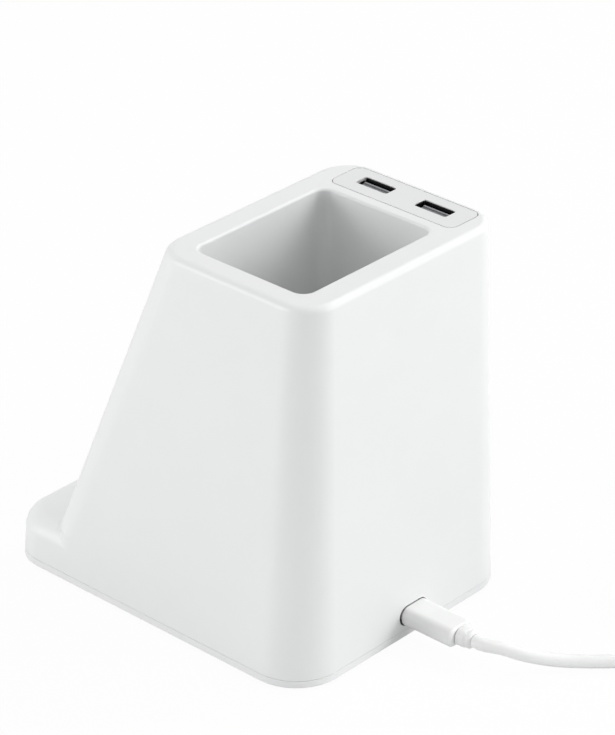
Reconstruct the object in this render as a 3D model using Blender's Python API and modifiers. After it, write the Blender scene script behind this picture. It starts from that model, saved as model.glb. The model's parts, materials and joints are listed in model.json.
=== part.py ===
"""Wireless charger pen holder: a sloped charging stand with a pen pocket and two USB-A ports.

Metres, +Z up. The object stands on z = 0. The sloped charging face looks to -Y, the USB-C inlet
is in the back wall at +Y, and the USB-A strip lies along the -X side of the top.
"""
import math

import bmesh
import bpy
from mathutils import Vector

# Outer body
BASE_WIDTH = 0.0983
BASE_DEPTH = 0.1259
BODY_HEIGHT = 0.1257
TOP_DEPTH = 0.0628
SIDE_DRAFT = math.radians(3.05)
BACK_DRAFT = math.radians(0.82)
SLOPE_SETBACK = 0.0113
BACK_CORNER_BASE = 0.016
BACK_CORNER_TOP = 0.0107
FRONT_CORNER = 0.0114
LEDGE_CORNER = 0.0135
LEDGE_HEIGHT = 0.016
LEDGE_ROUND = 0.0055
LEDGE_DRAFT = math.radians(2.9)
FOOT_FILLET = 0.0012
TOP_ROUND = 0.0022
WALL = 0.0022
TOP_WALL = 0.003

# Pen pocket, placed by the bands of the top that surround it
POCKET_SIDE_BAND = 0.0081
POCKET_STRIP_BAND = 0.0204
POCKET_FRONT_BAND = 0.0091
POCKET_BACK_BAND = 0.0096
POCKET_CORNER = 0.004
POCKET_RIM_ROUND = 0.0009
POCKET_DRAFT = math.radians(1.0)
POCKET_FLOOR = 0.022
POCKET_WALL = 0.0018

# Base cover, its screws and feet
COVER_THICKNESS = 0.0022
COVER_CHAMFER = 0.0002
COVER_LIP_HEIGHT = 0.0018
COVER_LIP_WALL = 0.0012
SEAM_GAP = 0.0003
FOOT_RADIUS = 0.006
FOOT_PROUD = 0.0008
FOOT_RECESS = 0.001
FOOT_ROUND = 0.0004
FOOT_SIDE_INSET = 0.023
FOOT_END_INSET = 0.0125
BOSS_RADIUS = 0.0035
BOSS_SIDE_INSET = 0.0105
BOSS_END_INSET = 0.0135
BOSS_PILOT_RADIUS = 0.0016
BACK_BOSS_TOP = 0.024
BOSS_RIB = 0.0014
SCREW_RADIUS = 0.0013
SCREW_HEAD_RADIUS = 0.0027
SCREW_HEAD_HEIGHT = 0.0018
SCREW_LENGTH = 0.008
SCREW_DRIVE_RADIUS = 0.001
SCREW_DRIVE_DEPTH = 0.0009
SCREW_HEAD_EDGE_SHARE = 0.8
SCREW_TIP_SHARE = 0.45
POST_RADIUS = 0.0045
POST_HEIGHT = 0.0022
COUNTERBORE_DEPTH = 0.0024

# USB-A strip in the top
STRIP_LENGTH = 0.0486
STRIP_WIDTH = 0.0138
STRIP_CORNER = 0.0028
STRIP_EDGE_BAND = 0.0095
STRIP_SHIFT_Y = 0.0007
STRIP_THICKNESS = 0.0014
STRIP_SKIRT = 0.0022
STRIP_SEAT = 0.0013
STRIP_CHAMFER = 0.0002
PORT_END_BAND = 0.0059
PORT_SHIFT_X = -0.0003
PORT_WIDTH = 0.0131
PORT_HEIGHT = 0.0057
PORT_DEPTH = 0.0135
PORT_SHELL_WALL = 0.0003
PORT_CORNER = 0.0006
PORT_SUNK = 0.0003
PORT_TONGUE_WIDTH = 0.0111
PORT_TONGUE_THICKNESS = 0.0019
PORT_TONGUE_OFFSET = 0.0006
PORT_TONGUE_SUNK = 0.0008
PORT_BASE_DEPTH = 0.0035
PORT_BOARD_THICKNESS = 0.0016
PORT_BOARD_DROP = 0.004
PORT_BOARD_TAIL = 0.007
PORT_BOARD_MARGIN = 0.0045
RAIL_WALL = 0.0014
RAIL_BITE = 0.0012

# Charging coil stack behind the sloped face
COIL_RISE = 0.08
COIL_TURNS = 10
COIL_WIRE = 0.0009
COIL_GAP = 0.0005
COIL_INNER_RADIUS = 0.0105
COIL_POINTS_PER_TURN = 24
FERRITE_MARGIN = 0.0012
FERRITE_THICKNESS = 0.001
FERRITE_HOLE_SHARE = 0.7
CARRIER_THICKNESS = 0.0015
CARRIER_RIM = 0.0015
CARRIER_CORNER = 0.005
CARRIER_WINDOW_SHARE = 0.6
CARRIER_BOSS_RADIUS = 0.0024
EAR_STEP = 0.0002
CARRIER_SCREW_LENGTH = 0.0045
CARRIER_SCREW_RADIUS = 0.0008
CARRIER_SCREW_HEAD_RADIUS = 0.0017
CARRIER_SCREW_HEAD_HEIGHT = 0.0011
SENSOR_RADIUS = 0.0016
SENSOR_THICKNESS = 0.0014
COIL_LEAD_RADIUS = 0.0006

# Main board and what stands on it
BOARD_THICKNESS = 0.0016
BOARD_DEPTH = 0.042
BOARD_CORNER = 0.002
BOARD_SIDE_MARGIN = 0.0015
BOARD_STANDOFF_RADIUS = 0.003
BOARD_SCREW_LENGTH = 0.0022
CHIP_SIZE = 0.005
CHIP_HEIGHT = 0.0009
CONTROLLER_SIZE = 0.007
CHOKE_SIZE = 0.0068
CHOKE_HEIGHT = 0.003
CAPACITOR_RADIUS = 0.0031
CAPACITOR_HEIGHT = 0.0072
HEADER_WIDTH = 0.0076
HEADER_DEPTH = 0.005
HEADER_HEIGHT = 0.0048
HARNESS_RADIUS = 0.0014
PART_CORNER = 0.0003
CAPACITOR_GROOVE_SHARE = 0.88
CONTROLLER_PLACE_SHARES = (0.5, 0.3)
PORT_CHIP_PLACE_SHARES = (0.3, 0.62)
CHOKE_PLACE_SHARES = (0.68, 0.62)
SECOND_CHOKE_PLACE_SHARES = (0.7, 0.3)
CAPACITOR_PLACE_SHARES = (0.86, 0.62)
SECOND_CAPACITOR_PLACE_SHARES = (0.3, 0.3)
PORT_HEADER_PLACE_SHARES = (0.12, 0.5)
COIL_HEADER_PLACE_SHARES = (0.88, 0.28)

# USB-C inlet in the back wall
INLET_X = -0.0024
INLET_HEIGHT = 0.0072
INLET_WIDTH = 0.0130
INLET_TALL = 0.007
INLET_CORNER = 0.0033
SOCKET_WIDTH = 0.009
SOCKET_TALL = 0.0033
SOCKET_WALL = 0.00025
SOCKET_LENGTH = 0.0078
SOCKET_TONGUE_WIDTH = 0.006
SOCKET_TONGUE_THICKNESS = 0.0007
SOCKET_TONGUE_LENGTH = 0.0046
SOCKET_BASE_LENGTH = 0.001
SOCKET_OVERHANG = 0.0028

# Charging lead
PLUG_WIDTH = 0.0112
PLUG_TALL = 0.0064
PLUG_LENGTH = 0.0212
PLUG_CORNER = 0.0027
PLUG_EDGE = 0.0007
PLUG_SHELL_WIDTH = 0.0081
PLUG_SHELL_TALL = 0.00236
PLUG_SHELL_WALL = 0.0003
PLUG_SHELL_LENGTH = 0.0064
NECK_LENGTH = 0.0032
NECK_WIDTH = 0.0070
NECK_TALL = 0.0058
NECK_TAPER_SHARE = 0.95
COLLAR_LENGTH = 0.0016
COLLAR_RADIUS = 0.0029
LEAD_RADIUS = 0.0021
LEAD_STEP = 0.0066
LEAD_ROUTE = (
    (-0.0054, 0.0953, 0.0074), (-0.0083, 0.0999, 0.0061), (-0.0116, 0.1034, 0.0048),
    (-0.0153, 0.1066, 0.0036), (-0.0190, 0.1099, 0.0028), (-0.0238, 0.1144, 0.0023),
    (-0.0291, 0.1198, 0.0022), (-0.0385, 0.1292, 0.0023), (-0.0480, 0.1390, 0.0027),
)
WOUND_CENTRE = (-0.0809, 0.1251)
WOUND_START = math.radians(46)
WOUND_CLIMB_TURNS = 0.5
WOUND_TURNS = 2.929
WOUND_MIDDLE_RADIUS = 0.0235
WOUND_GAP = 0.00102
WOUND_POINTS_PER_TURN = 24
TIE_WIDTH = 0.009
TIE_THICKNESS = 0.0006
TIE_ANGLE = math.radians(320)
TAIL_LENGTH = 0.020
FAR_PLUG_WIDTH = 0.0158
FAR_PLUG_TALL = 0.0078
FAR_PLUG_LENGTH = 0.0222
FAR_PLUG_CORNER = 0.0022
FAR_SHELL_WIDTH = 0.012
FAR_SHELL_TALL = 0.0045
FAR_SHELL_LENGTH = 0.0118
FAR_SHELL_WALL = 0.0003
FAR_INSERT_THICKNESS = 0.0019
FAR_RELIEF_LENGTH = 0.0075
FAR_RELIEF_RADIUS = 0.0029

# Shared clearances
CLEAR = 0.0003
PLAY = 0.0005
OVERRUN = 0.002
MERGE = 0.000001
CORNER_STEPS = 9
ROUND_STEPS = 4
ROUND_SIDES = 24

PARTS = "wireless_charger_pen_holder"


def clear_scene():
    for thing in list(bpy.data.objects):
        bpy.data.objects.remove(thing, do_unlink=True)
    for mesh in list(bpy.data.meshes):
        bpy.data.meshes.remove(mesh)


def collection(name):
    found = bpy.data.collections.get(name)
    if found is None:
        found = bpy.data.collections.new(name)
        bpy.context.scene.collection.children.link(found)
    return found


def finish(name, colour, roughness, metallic=0.0):
    material = bpy.data.materials.new(name)
    material.use_nodes = True
    shader = material.node_tree.nodes["Principled BSDF"]
    shader.inputs["Base Color"].default_value = (*colour, 1.0)
    shader.inputs["Roughness"].default_value = roughness
    shader.inputs["Metallic"].default_value = metallic
    material.diffuse_color = (*colour, 1.0)
    return material


def add_part(name, data, material, parent=None, smooth=False):
    piece = bpy.data.objects.new(name, data)
    collection(PARTS).objects.link(piece)
    data.materials.clear()
    data.materials.append(material)
    piece.parent = parent
    if smooth and piece.type == "MESH":
        data.shade_smooth()
        data.set_sharp_from_angle(angle=math.radians(35))
    return piece


def add_cutter(name, data, parent=None):
    piece = bpy.data.objects.new(name, data)
    collection("cutters").objects.link(piece)
    piece.hide_render = True
    piece.display_type = "WIRE"
    piece.parent = parent
    return piece


def combine(target, tool, operation):
    change = target.modifiers.new(operation.lower() + "_" + tool.name, "BOOLEAN")
    change.operation = operation
    change.object = tool
    change.solver = "EXACT"


def cut(target, tool):
    combine(target, tool, "DIFFERENCE")


def join(target, tool):
    combine(target, tool, "UNION")


def arc(centre_x, centre_y, radius, start, end, steps):
    turns = [start + (end - start) * step / steps for step in range(steps + 1)]
    return [(centre_x + radius * math.cos(turn), centre_y + radius * math.sin(turn)) for turn in turns]


def rounded_rectangle(width, depth, corner, steps=CORNER_STEPS):
    side = width / 2 - corner
    end = depth / 2 - corner
    quarter = math.pi / 2
    points = arc(side, end, corner, 0, quarter, steps)
    points += arc(-side, end, corner, quarter, 2 * quarter, steps)
    points += arc(-side, -end, corner, 2 * quarter, 3 * quarter, steps)
    points += arc(side, -end, corner, 3 * quarter, 4 * quarter, steps)
    return points


def placed(points, level, shift=(0, 0)):
    return [Vector((x + shift[0], y + shift[1], level)) for x, y in points]


def loft(name, rings, capped=True):
    """A closed skin over rings that have the same number of points."""
    shape = bmesh.new()
    rows = [[shape.verts.new(point) for point in ring] for ring in rings]
    for low, high in zip(rows, rows[1:]):
        for here in range(len(low)):
            there = (here + 1) % len(low)
            shape.faces.new((low[here], low[there], high[there], high[here]))
    if capped:
        shape.faces.new(list(reversed(rows[0])))
        shape.faces.new(rows[-1])
    bmesh.ops.remove_doubles(shape, verts=shape.verts, dist=MERGE)
    bmesh.ops.recalc_face_normals(shape, faces=shape.faces)
    mesh = bpy.data.meshes.new(name)
    shape.to_mesh(mesh)
    shape.free()
    return mesh


def block(name, size, centre):
    shape = bmesh.new()
    bmesh.ops.create_cube(shape, size=1.0)
    bmesh.ops.scale(shape, vec=Vector(size), verts=shape.verts)
    bmesh.ops.translate(shape, vec=Vector(centre), verts=shape.verts)
    mesh = bpy.data.meshes.new(name)
    shape.to_mesh(mesh)
    shape.free()
    return mesh


def span_block(name, low, high):
    size = [b - a for a, b in zip(low, high)]
    centre = [(a + b) / 2 for a, b in zip(low, high)]
    return block(name, size, centre)


def disc(name, radius, bottom, top, centre=(0, 0), sides=ROUND_SIDES, top_radius=None):
    shape = bmesh.new()
    bmesh.ops.create_cone(shape, cap_ends=True, segments=sides, radius1=radius,
                          radius2=radius if top_radius is None else top_radius, depth=top - bottom)
    bmesh.ops.translate(shape, vec=Vector((centre[0], centre[1], (top + bottom) / 2)), verts=shape.verts)
    mesh = bpy.data.meshes.new(name)
    shape.to_mesh(mesh)
    shape.free()
    return mesh


def slab(name, width, depth, corner, bottom, top, shift=(0, 0), steps=CORNER_STEPS):
    points = rounded_rectangle(width, depth, corner, steps)
    return loft(name, [placed(points, bottom, shift), placed(points, top, shift)])


def soften(piece, width, segments=1):
    bevel = piece.modifiers.new("edge", "BEVEL")
    bevel.width = width
    bevel.segments = segments
    bevel.limit_method = "ANGLE"


def sleeve(name, width, tall, corner, low_y, high_y, centre, steps=3):
    """An open rounded tube along Y, for a folded metal shell."""
    points = rounded_rectangle(width, tall, corner, steps)
    rings = [[Vector((centre[0] + x, y, centre[1] + z)) for x, z in points] for y in (low_y, high_y)]
    return loft(name, rings, capped=False)


def bar_along_y(name, stations, centre, steps=3):
    """A solid along Y through stations of (y, width, height, corner)."""
    rings = []
    for y, width, tall, corner in stations:
        points = rounded_rectangle(width, tall, corner, steps)
        rings.append([Vector((centre[0] + x, y, centre[1] + z)) for x, z in points])
    return loft(name, rings)


def thicken(piece, wall):
    solid = piece.modifiers.new("wall", "SOLIDIFY")
    solid.thickness = wall
    solid.offset = -1.0


def add_turned(name, profile, material, steps=ROUND_SIDES):
    """An outline of (radius, height), top to bottom, turned about Z."""
    mesh = bpy.data.meshes.new(name)
    points = [(radius, 0, height) for radius, height in profile]
    edges = [(here, here + 1) for here in range(len(points) - 1)]
    mesh.from_pydata(points, edges, [])
    piece = add_part(name, mesh, material)
    screw = piece.modifiers.new("turn", "SCREW")
    screw.axis = "Z"
    screw.angle = 2 * math.pi
    screw.steps = steps
    screw.render_steps = steps
    screw.use_merge_vertices = True
    screw.merge_threshold = MERGE
    screw.use_smooth_shade = True
    return piece


def add_tube(name, points, radius, material, parent=None, sides=2):
    curve = bpy.data.curves.new(name, "CURVE")
    curve.dimensions = "3D"
    curve.bevel_depth = radius
    curve.bevel_resolution = sides
    curve.use_fill_caps = True
    line = curve.splines.new("POLY")
    line.points.add(len(points) - 1)
    for spot, point in zip(line.points, points):
        spot.co = (*point, 1.0)
    return add_part(name, curve, material, parent)


def smooth_route(route, step):
    """Evenly spaced points on a Catmull-Rom curve through the route's own points."""
    ends = [2 * route[0] - route[1]] + list(route) + [2 * route[-1] - route[-2]]
    fine = []
    slices = 40
    for here in range(1, len(ends) - 2):
        before, start, end, after = ends[here - 1:here + 3]
        for piece in range(slices):
            t = piece / slices
            fine.append(0.5 * (2 * start + (end - before) * t
                               + (2 * before - 5 * start + 4 * end - after) * t ** 2
                               + (3 * start - before - 3 * end + after) * t ** 3))
    fine.append(route[-1].copy())
    total = sum((b - a).length for a, b in zip(fine, fine[1:]))
    count = max(round(total / step), 2)
    points = [fine[0]]
    walked = 0.0
    for a, b in zip(fine, fine[1:]):
        length = (b - a).length
        while len(points) < count and walked + length >= total * len(points) / count:
            share = (total * len(points) / count - walked) / length
            points.append(a.lerp(b, share))
        walked += length
    points.append(fine[-1])
    return points


def route_length(points):
    return sum((b - a).length for a, b in zip(points, points[1:]))


# Sections of the body, at a height above the underside of the base
def half_width(height):
    return BASE_WIDTH / 2 - height * math.tan(SIDE_DRAFT)


def back_face(height):
    return BASE_DEPTH / 2 - height * math.tan(BACK_DRAFT)


def slope_foot():
    return -BASE_DEPTH / 2 + SLOPE_SETBACK


def slope_angle():
    """The charging face's angle above the table, from its foot to the front edge of the top."""
    return math.atan2(BODY_HEIGHT, back_face(BODY_HEIGHT) - TOP_DEPTH - slope_foot())


def front_face(height):
    return slope_foot() + height / math.tan(slope_angle())


def ledge_front(height):
    return -BASE_DEPTH / 2 + height * math.tan(LEDGE_DRAFT)


def back_corner(height):
    return BACK_CORNER_BASE + (BACK_CORNER_TOP - BACK_CORNER_BASE) * height / BODY_HEIGHT


def back_wall_middle(x, height):
    """The middle of the back wall's thickness at x, drawn forward where the corner curves."""
    corner = back_corner(height)
    past = max(x - (half_width(height) - corner), 0.0)
    return back_face(height) - corner + math.sqrt(corner ** 2 - past ** 2) - WALL / 2


def level(height):
    return FOOT_PROUD + height


def body_ring(height, skin=0.0, ledge=None, foot=0.0, draw_in=0.0, bottom=None):
    """The section at a height. With ledge, it runs round the ledge, drawn in there by that much."""
    inset = skin + draw_in
    side = half_width(height) - inset
    back = back_face(height) - inset
    corner = max(back_corner(height) - inset, CLEAR)
    front_corner = max(FRONT_CORNER - inset, CLEAR)
    front = front_face(height) + inset / math.sin(slope_angle()) - foot
    quarter = math.pi / 2
    half = [(0, back)] + arc(side - corner, back - corner, corner, quarter, 0, CORNER_STEPS)
    if ledge is None:
        deepest = min((LEDGE_ROUND - skin) / (FRONT_CORNER - skin), 1.0)
        split = math.acos(1 - deepest)
        half += arc(side - front_corner, front + front_corner, front_corner, 0, -split, ROUND_STEPS)
        half += arc(side - front_corner, front + front_corner, front_corner, -split, -quarter, CORNER_STEPS)
        half += [(0, front)]
    else:
        reach = math.acos(1 - min(ledge / front_corner, 1.0))
        half += arc(side - front_corner, front + front_corner, front_corner, 0, -reach, ROUND_STEPS)
        edge = ledge_front(height) + skin
        ledge_corner = LEDGE_CORNER - skin
        half += arc(side - ledge_corner, edge + ledge_corner, ledge_corner - ledge, 0, -quarter, CORNER_STEPS)
        half += [(0, edge + ledge)]
    other = [(-x, y) for x, y in reversed(half) if x > 0]
    return placed(half + other, level(height) if bottom is None else bottom)


def body_rings(skin, first, ceiling):
    """Rings from the open bottom, over the ledge's rounded edge, up to the ceiling."""
    ledge_top = LEDGE_HEIGHT - skin
    ledge_round = LEDGE_ROUND - skin
    rings = [body_ring(first, skin, ledge=0.0)]
    for step in range(ROUND_STEPS + 1):
        turn = math.pi / 2 * step / ROUND_STEPS
        drawn = ledge_round * (1 - math.cos(turn))
        flare = FOOT_FILLET * math.sin(turn)
        rings.append(body_ring(ledge_top - ledge_round * (1 - math.sin(turn)), skin, ledge=drawn, foot=flare))
    for step in range(ROUND_STEPS):
        turn = math.pi / 2 * step / (ROUND_STEPS - 1)
        rise = FOOT_FILLET * (1 - math.cos(turn))
        rings.append(body_ring(ledge_top + rise, skin, foot=FOOT_FILLET * (1 - math.sin(turn))))
    rings.append(body_ring(ceiling, skin))
    return rings


def pocket_box(height):
    """Centre and size of the pen pocket's section."""
    draft = math.tan(POCKET_DRAFT) * (BODY_HEIGHT - height)
    high_x = half_width(BODY_HEIGHT) - POCKET_SIDE_BAND - draft
    low_x = -half_width(BODY_HEIGHT) + POCKET_STRIP_BAND + draft
    high_y = back_face(BODY_HEIGHT) - POCKET_BACK_BAND - draft
    low_y = front_face(BODY_HEIGHT) + POCKET_FRONT_BAND + draft
    return (high_x + low_x) / 2, (high_y + low_y) / 2, high_x - low_x, high_y - low_y


def pocket_ring(height, grow=0.0):
    x, y, width, depth = pocket_box(height)
    points = rounded_rectangle(width + 2 * grow, depth + 2 * grow, POCKET_CORNER + grow)
    return placed(points, level(height), (x, y))


def strip_centre():
    middle_y = (front_face(BODY_HEIGHT) + back_face(BODY_HEIGHT)) / 2 + STRIP_SHIFT_Y
    return -half_width(BODY_HEIGHT) + STRIP_EDGE_BAND, middle_y


def port_pitch():
    return STRIP_LENGTH - 2 * PORT_END_BAND - PORT_WIDTH


def port_centres():
    x, y = strip_centre()
    return [(x + PORT_SHIFT_X, y + along * port_pitch() / 2) for along in (-1, 1)]


def port_board_box():
    """Low and high corners of the upright board behind the two ports."""
    y = strip_centre()[1]
    length = port_pitch() + PORT_WIDTH + 2 * PORT_BOARD_MARGIN
    high_x = port_centres()[0][0] - PORT_HEIGHT / 2 - CLEAR
    top = BODY_HEIGHT - PORT_BOARD_DROP
    bottom = BODY_HEIGHT - PORT_SUNK - PORT_DEPTH - PORT_BOARD_TAIL
    low = (high_x - PORT_BOARD_THICKNESS, y - length / 2, level(bottom))
    high = (high_x, y + length / 2, level(top))
    return low, high


def boss_places():
    side = BASE_WIDTH / 2 - BOSS_SIDE_INSET
    end = BASE_DEPTH / 2 - BOSS_END_INSET
    return [(across * side, along * end) for along in (-1, 1) for across in (-1, 1)]


def foot_places():
    side = BASE_WIDTH / 2 - FOOT_SIDE_INSET
    end = BASE_DEPTH / 2 - FOOT_END_INSET
    return [(across * side, along * end) for along in (-1, 1) for across in (-1, 1)]


def slope_frame():
    """An empty on the sloped face: X across, Y up the slope, Z out of the face."""
    frame = bpy.data.objects.new("sloped_face", None)
    collection(PARTS).objects.link(frame)
    frame.location = (0, front_face(0), level(0))
    frame.rotation_euler = (slope_angle(), 0, 0)
    return frame


def coil_outer_radius():
    return COIL_INNER_RADIUS + COIL_TURNS * (COIL_WIRE + COIL_GAP) + COIL_WIRE / 2


def carrier_half():
    return coil_outer_radius() + FERRITE_MARGIN + CLEAR + CARRIER_RIM


def coil_depth():
    return WALL + CLEAR + COIL_WIRE / 2


def ferrite_depth():
    return coil_depth() + COIL_WIRE / 2 + CLEAR


def carrier_depth():
    return ferrite_depth() + FERRITE_THICKNESS + CLEAR


def carrier_screw_places():
    reach = carrier_half() + CARRIER_BOSS_RADIUS + CLEAR
    lift = carrier_half() / 2
    return [(across * reach, COIL_RISE + along * lift) for along in (-1, 1) for across in (-1, 1)]


# Housing
def add_bosses(housing):
    """Four screw bosses: the front pair hangs from the ledge, the back pair is ribbed to the walls."""
    bottom = level(COVER_THICKNESS + POST_HEIGHT + CLEAR)
    for place, (x, y) in enumerate(boss_places()):
        at_front = y < 0
        top = level(LEDGE_HEIGHT - WALL / 2) if at_front else level(BACK_BOSS_TOP)
        join(housing, add_cutter(f"boss_{place}", disc("boss", BOSS_RADIUS, bottom, top, (x, y))))
        if not at_front:
            outward = math.copysign(1, x)
            wall_x = outward * (half_width(BACK_BOSS_TOP) - WALL / 2)
            wall_y = back_wall_middle(abs(x) + BOSS_RIB / 2, BACK_BOSS_TOP)
            low_x, high_x = sorted((x, wall_x))
            rib_low = bottom + BOSS_RADIUS
            join(housing, add_cutter(f"side_rib_{place}", span_block(
                "side_rib", (low_x, y - BOSS_RIB / 2, rib_low), (high_x, y + BOSS_RIB / 2, top - BOSS_RIB))))
            join(housing, add_cutter(f"back_rib_{place}", span_block(
                "back_rib", (x - BOSS_RIB / 2, y, rib_low),
                (x + BOSS_RIB / 2, wall_y, top - BOSS_RIB))))
        pilot_top = bottom + SCREW_LENGTH
        cut(housing, add_cutter(f"pilot_{place}", disc(
            "pilot", BOSS_PILOT_RADIUS, bottom - OVERRUN, pilot_top, (x, y), sides=ROUND_SIDES // 2)))


def add_board_rails(housing):
    """Two upright channels on the inner side wall that hold the port board by its ends."""
    low, high = port_board_box()
    for end, y in enumerate((low[1], high[1])):
        inward = 1 if end == 0 else -1
        reach = RAIL_WALL + PLAY
        near, far = sorted((y - inward * reach, y + inward * RAIL_BITE))
        rings = []
        for height in (low[2] - FOOT_PROUD + OVERRUN, BODY_HEIGHT - STRIP_THICKNESS - STRIP_SKIRT - CLEAR):
            wall_x = -half_width(height) + WALL / 2
            corners = ((wall_x, near), (high[0] + reach, near), (high[0] + reach, far), (wall_x, far))
            rings.append(placed(corners, level(height)))
        join(housing, add_cutter(f"rail_{end}", loft("rail", rings)))
    slot_low = (low[0] - CLEAR, low[1] - CLEAR, low[2] - OVERRUN)
    slot_high = (high[0] + CLEAR, high[1] + CLEAR, high[2] + CLEAR)
    cut(housing, add_cutter("rail_slot", span_block("rail_slot", slot_low, slot_high)))


def add_carrier_bosses(housing, frame):
    for place, (x, rise) in enumerate(carrier_screw_places()):
        boss = disc("carrier_boss", CARRIER_BOSS_RADIUS, -carrier_depth() + CLEAR, -WALL / 2, (x, rise),
                    sides=ROUND_SIDES // 2)
        join(housing, add_cutter(f"carrier_boss_{place}", boss, frame))
        pilot = disc("carrier_pilot", CARRIER_SCREW_RADIUS + CLEAR / 2, -carrier_depth() - OVERRUN,
                     -WALL / 2 - CLEAR, (x, rise), sides=ROUND_SIDES // 2)
        cut(housing, add_cutter(f"carrier_pilot_{place}", pilot, frame))


def add_housing(white, frame):
    outer = body_rings(0.0, COVER_THICKNESS + SEAM_GAP, BODY_HEIGHT - TOP_ROUND)
    for step in range(1, ROUND_STEPS + 1):
        turn = math.pi / 2 * step / ROUND_STEPS
        height = BODY_HEIGHT - TOP_ROUND * (1 - math.sin(turn))
        outer.append(body_ring(height, draw_in=TOP_ROUND * (1 - math.cos(turn))))
    housing = add_part("housing", loft("housing", outer), white, smooth=True)

    hollow = add_cutter("hollow", loft("hollow", body_rings(WALL, 0.0, BODY_HEIGHT - TOP_WALL)))
    tub_rings = [pocket_ring(POCKET_FLOOR - POCKET_WALL, POCKET_WALL), pocket_ring(BODY_HEIGHT, POCKET_WALL)]
    cut(hollow, add_cutter("pocket_tub", loft("pocket_tub", tub_rings)))
    cut(housing, hollow)

    mouth = [pocket_ring(POCKET_FLOOR), pocket_ring(BODY_HEIGHT - POCKET_RIM_ROUND)]
    for step in range(1, ROUND_STEPS + 1):
        turn = math.pi / 2 * step / ROUND_STEPS
        rim = POCKET_RIM_ROUND * (1 - math.cos(turn))
        mouth.append(pocket_ring(BODY_HEIGHT - POCKET_RIM_ROUND * (1 - math.sin(turn)), rim))
    mouth.append(pocket_ring(BODY_HEIGHT + OVERRUN, POCKET_RIM_ROUND))
    cut(housing, add_cutter("pocket", loft("pocket", mouth)))

    seat = (STRIP_LENGTH + 2 * CLEAR, STRIP_WIDTH + 2 * CLEAR, STRIP_CORNER + CLEAR)
    top = level(BODY_HEIGHT)
    cut(housing, add_cutter("strip_seat", slab(
        "strip_seat", seat[1], seat[0], seat[2], top - STRIP_THICKNESS - CLEAR, top + OVERRUN, strip_centre())))
    cut(housing, add_cutter("strip_hole", slab(
        "strip_hole", seat[1] - 2 * STRIP_SEAT, seat[0] - 2 * STRIP_SEAT, seat[2] - STRIP_SEAT,
        top - TOP_WALL - OVERRUN, top, strip_centre())))

    inlet = bar_along_y("inlet", [(back_face(INLET_HEIGHT) - WALL - OVERRUN, INLET_WIDTH, INLET_TALL, INLET_CORNER),
                                  (BASE_DEPTH / 2 + OVERRUN, INLET_WIDTH, INLET_TALL, INLET_CORNER)],
                        (INLET_X, level(INLET_HEIGHT)), CORNER_STEPS)
    cut(housing, add_cutter("inlet", inlet))
    add_bosses(housing)
    add_board_rails(housing)
    add_carrier_bosses(housing, frame)
    return housing


# Base
def board_box():
    """Low and high corners of the main board."""
    half = BASE_WIDTH / 2 - BOSS_SIDE_INSET - POST_RADIUS - BOARD_SIDE_MARGIN
    rear = socket_mouth() - SOCKET_OVERHANG
    top = level(INLET_HEIGHT) - SOCKET_TALL / 2 - CLEAR
    return (-half, rear - BOARD_DEPTH, top - BOARD_THICKNESS), (half, rear, top)


def standoff_places():
    low, high = board_box()
    inset = BOARD_STANDOFF_RADIUS + BOARD_CORNER / 2
    return [(x, y) for y in (low[1] + inset, high[1] - inset) for x in (low[0] + inset, high[0] - inset)]


def cover_lip_ring(height, skin):
    return body_ring(0.0, skin, ledge=0.0, bottom=level(height))


def add_base_cover(grey_white):
    rings = [body_ring(0.0, draw_in=COVER_CHAMFER, ledge=0.0),
             body_ring(COVER_CHAMFER, ledge=0.0), body_ring(COVER_THICKNESS, ledge=0.0)]
    cover = add_part("base_cover", loft("base_cover", rings), grey_white, smooth=True)
    low = COVER_THICKNESS / 2
    high = COVER_THICKNESS + COVER_LIP_HEIGHT
    lip = add_cutter("cover_lip", loft("cover_lip", [cover_lip_ring(low, WALL + CLEAR),
                                                     cover_lip_ring(high, WALL + CLEAR)]))
    inside = WALL + CLEAR + COVER_LIP_WALL
    cut(lip, add_cutter("cover_lip_inside", loft("cover_lip_inside", [
        cover_lip_ring(low - OVERRUN, inside), cover_lip_ring(high + OVERRUN, inside)])))
    join(cover, lip)
    for place, (x, y) in enumerate(boss_places()):
        join(cover, add_cutter(f"post_{place}", disc(
            "post", POST_RADIUS, level(COVER_THICKNESS / 2), level(COVER_THICKNESS + POST_HEIGHT), (x, y))))
        cut(cover, add_cutter(f"counterbore_{place}", disc(
            "counterbore", SCREW_HEAD_RADIUS + CLEAR, level(0) - OVERRUN, level(COUNTERBORE_DEPTH), (x, y))))
        cut(cover, add_cutter(f"shank_hole_{place}", disc(
            "shank_hole", SCREW_RADIUS + CLEAR, level(0), level(COVER_THICKNESS + POST_HEIGHT) + OVERRUN, (x, y),
            sides=ROUND_SIDES // 2)))
    for place, (x, y) in enumerate(foot_places()):
        cut(cover, add_cutter(f"foot_recess_{place}", disc(
            "foot_recess", FOOT_RADIUS + CLEAR, level(0) - OVERRUN, level(FOOT_RECESS), (x, y))))
    floor = board_box()[0][2] - CLEAR
    for place, (x, y) in enumerate(standoff_places()):
        join(cover, add_cutter(f"standoff_{place}", disc(
            "standoff", BOARD_STANDOFF_RADIUS, level(COVER_THICKNESS / 2), floor, (x, y), sides=ROUND_SIDES // 2)))
        cut(cover, add_cutter(f"standoff_hole_{place}", disc(
            "standoff_hole", CARRIER_SCREW_RADIUS + CLEAR / 2, floor - BOARD_SCREW_LENGTH, floor + OVERRUN, (x, y),
            sides=ROUND_SIDES // 2)))
    return cover


def add_feet(rubber):
    names = ("foot_front_left", "foot_front_right", "foot_back_left", "foot_back_right")
    top = level(FOOT_RECESS) - CLEAR
    for name, (x, y) in zip(names, foot_places()):
        profile = [(0, top), (FOOT_RADIUS, top), (FOOT_RADIUS, FOOT_ROUND),
                   (FOOT_RADIUS - FOOT_ROUND, 0), (0, 0)]
        foot = add_turned(name, profile, rubber)
        foot.location = (x, y, 0)


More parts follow.
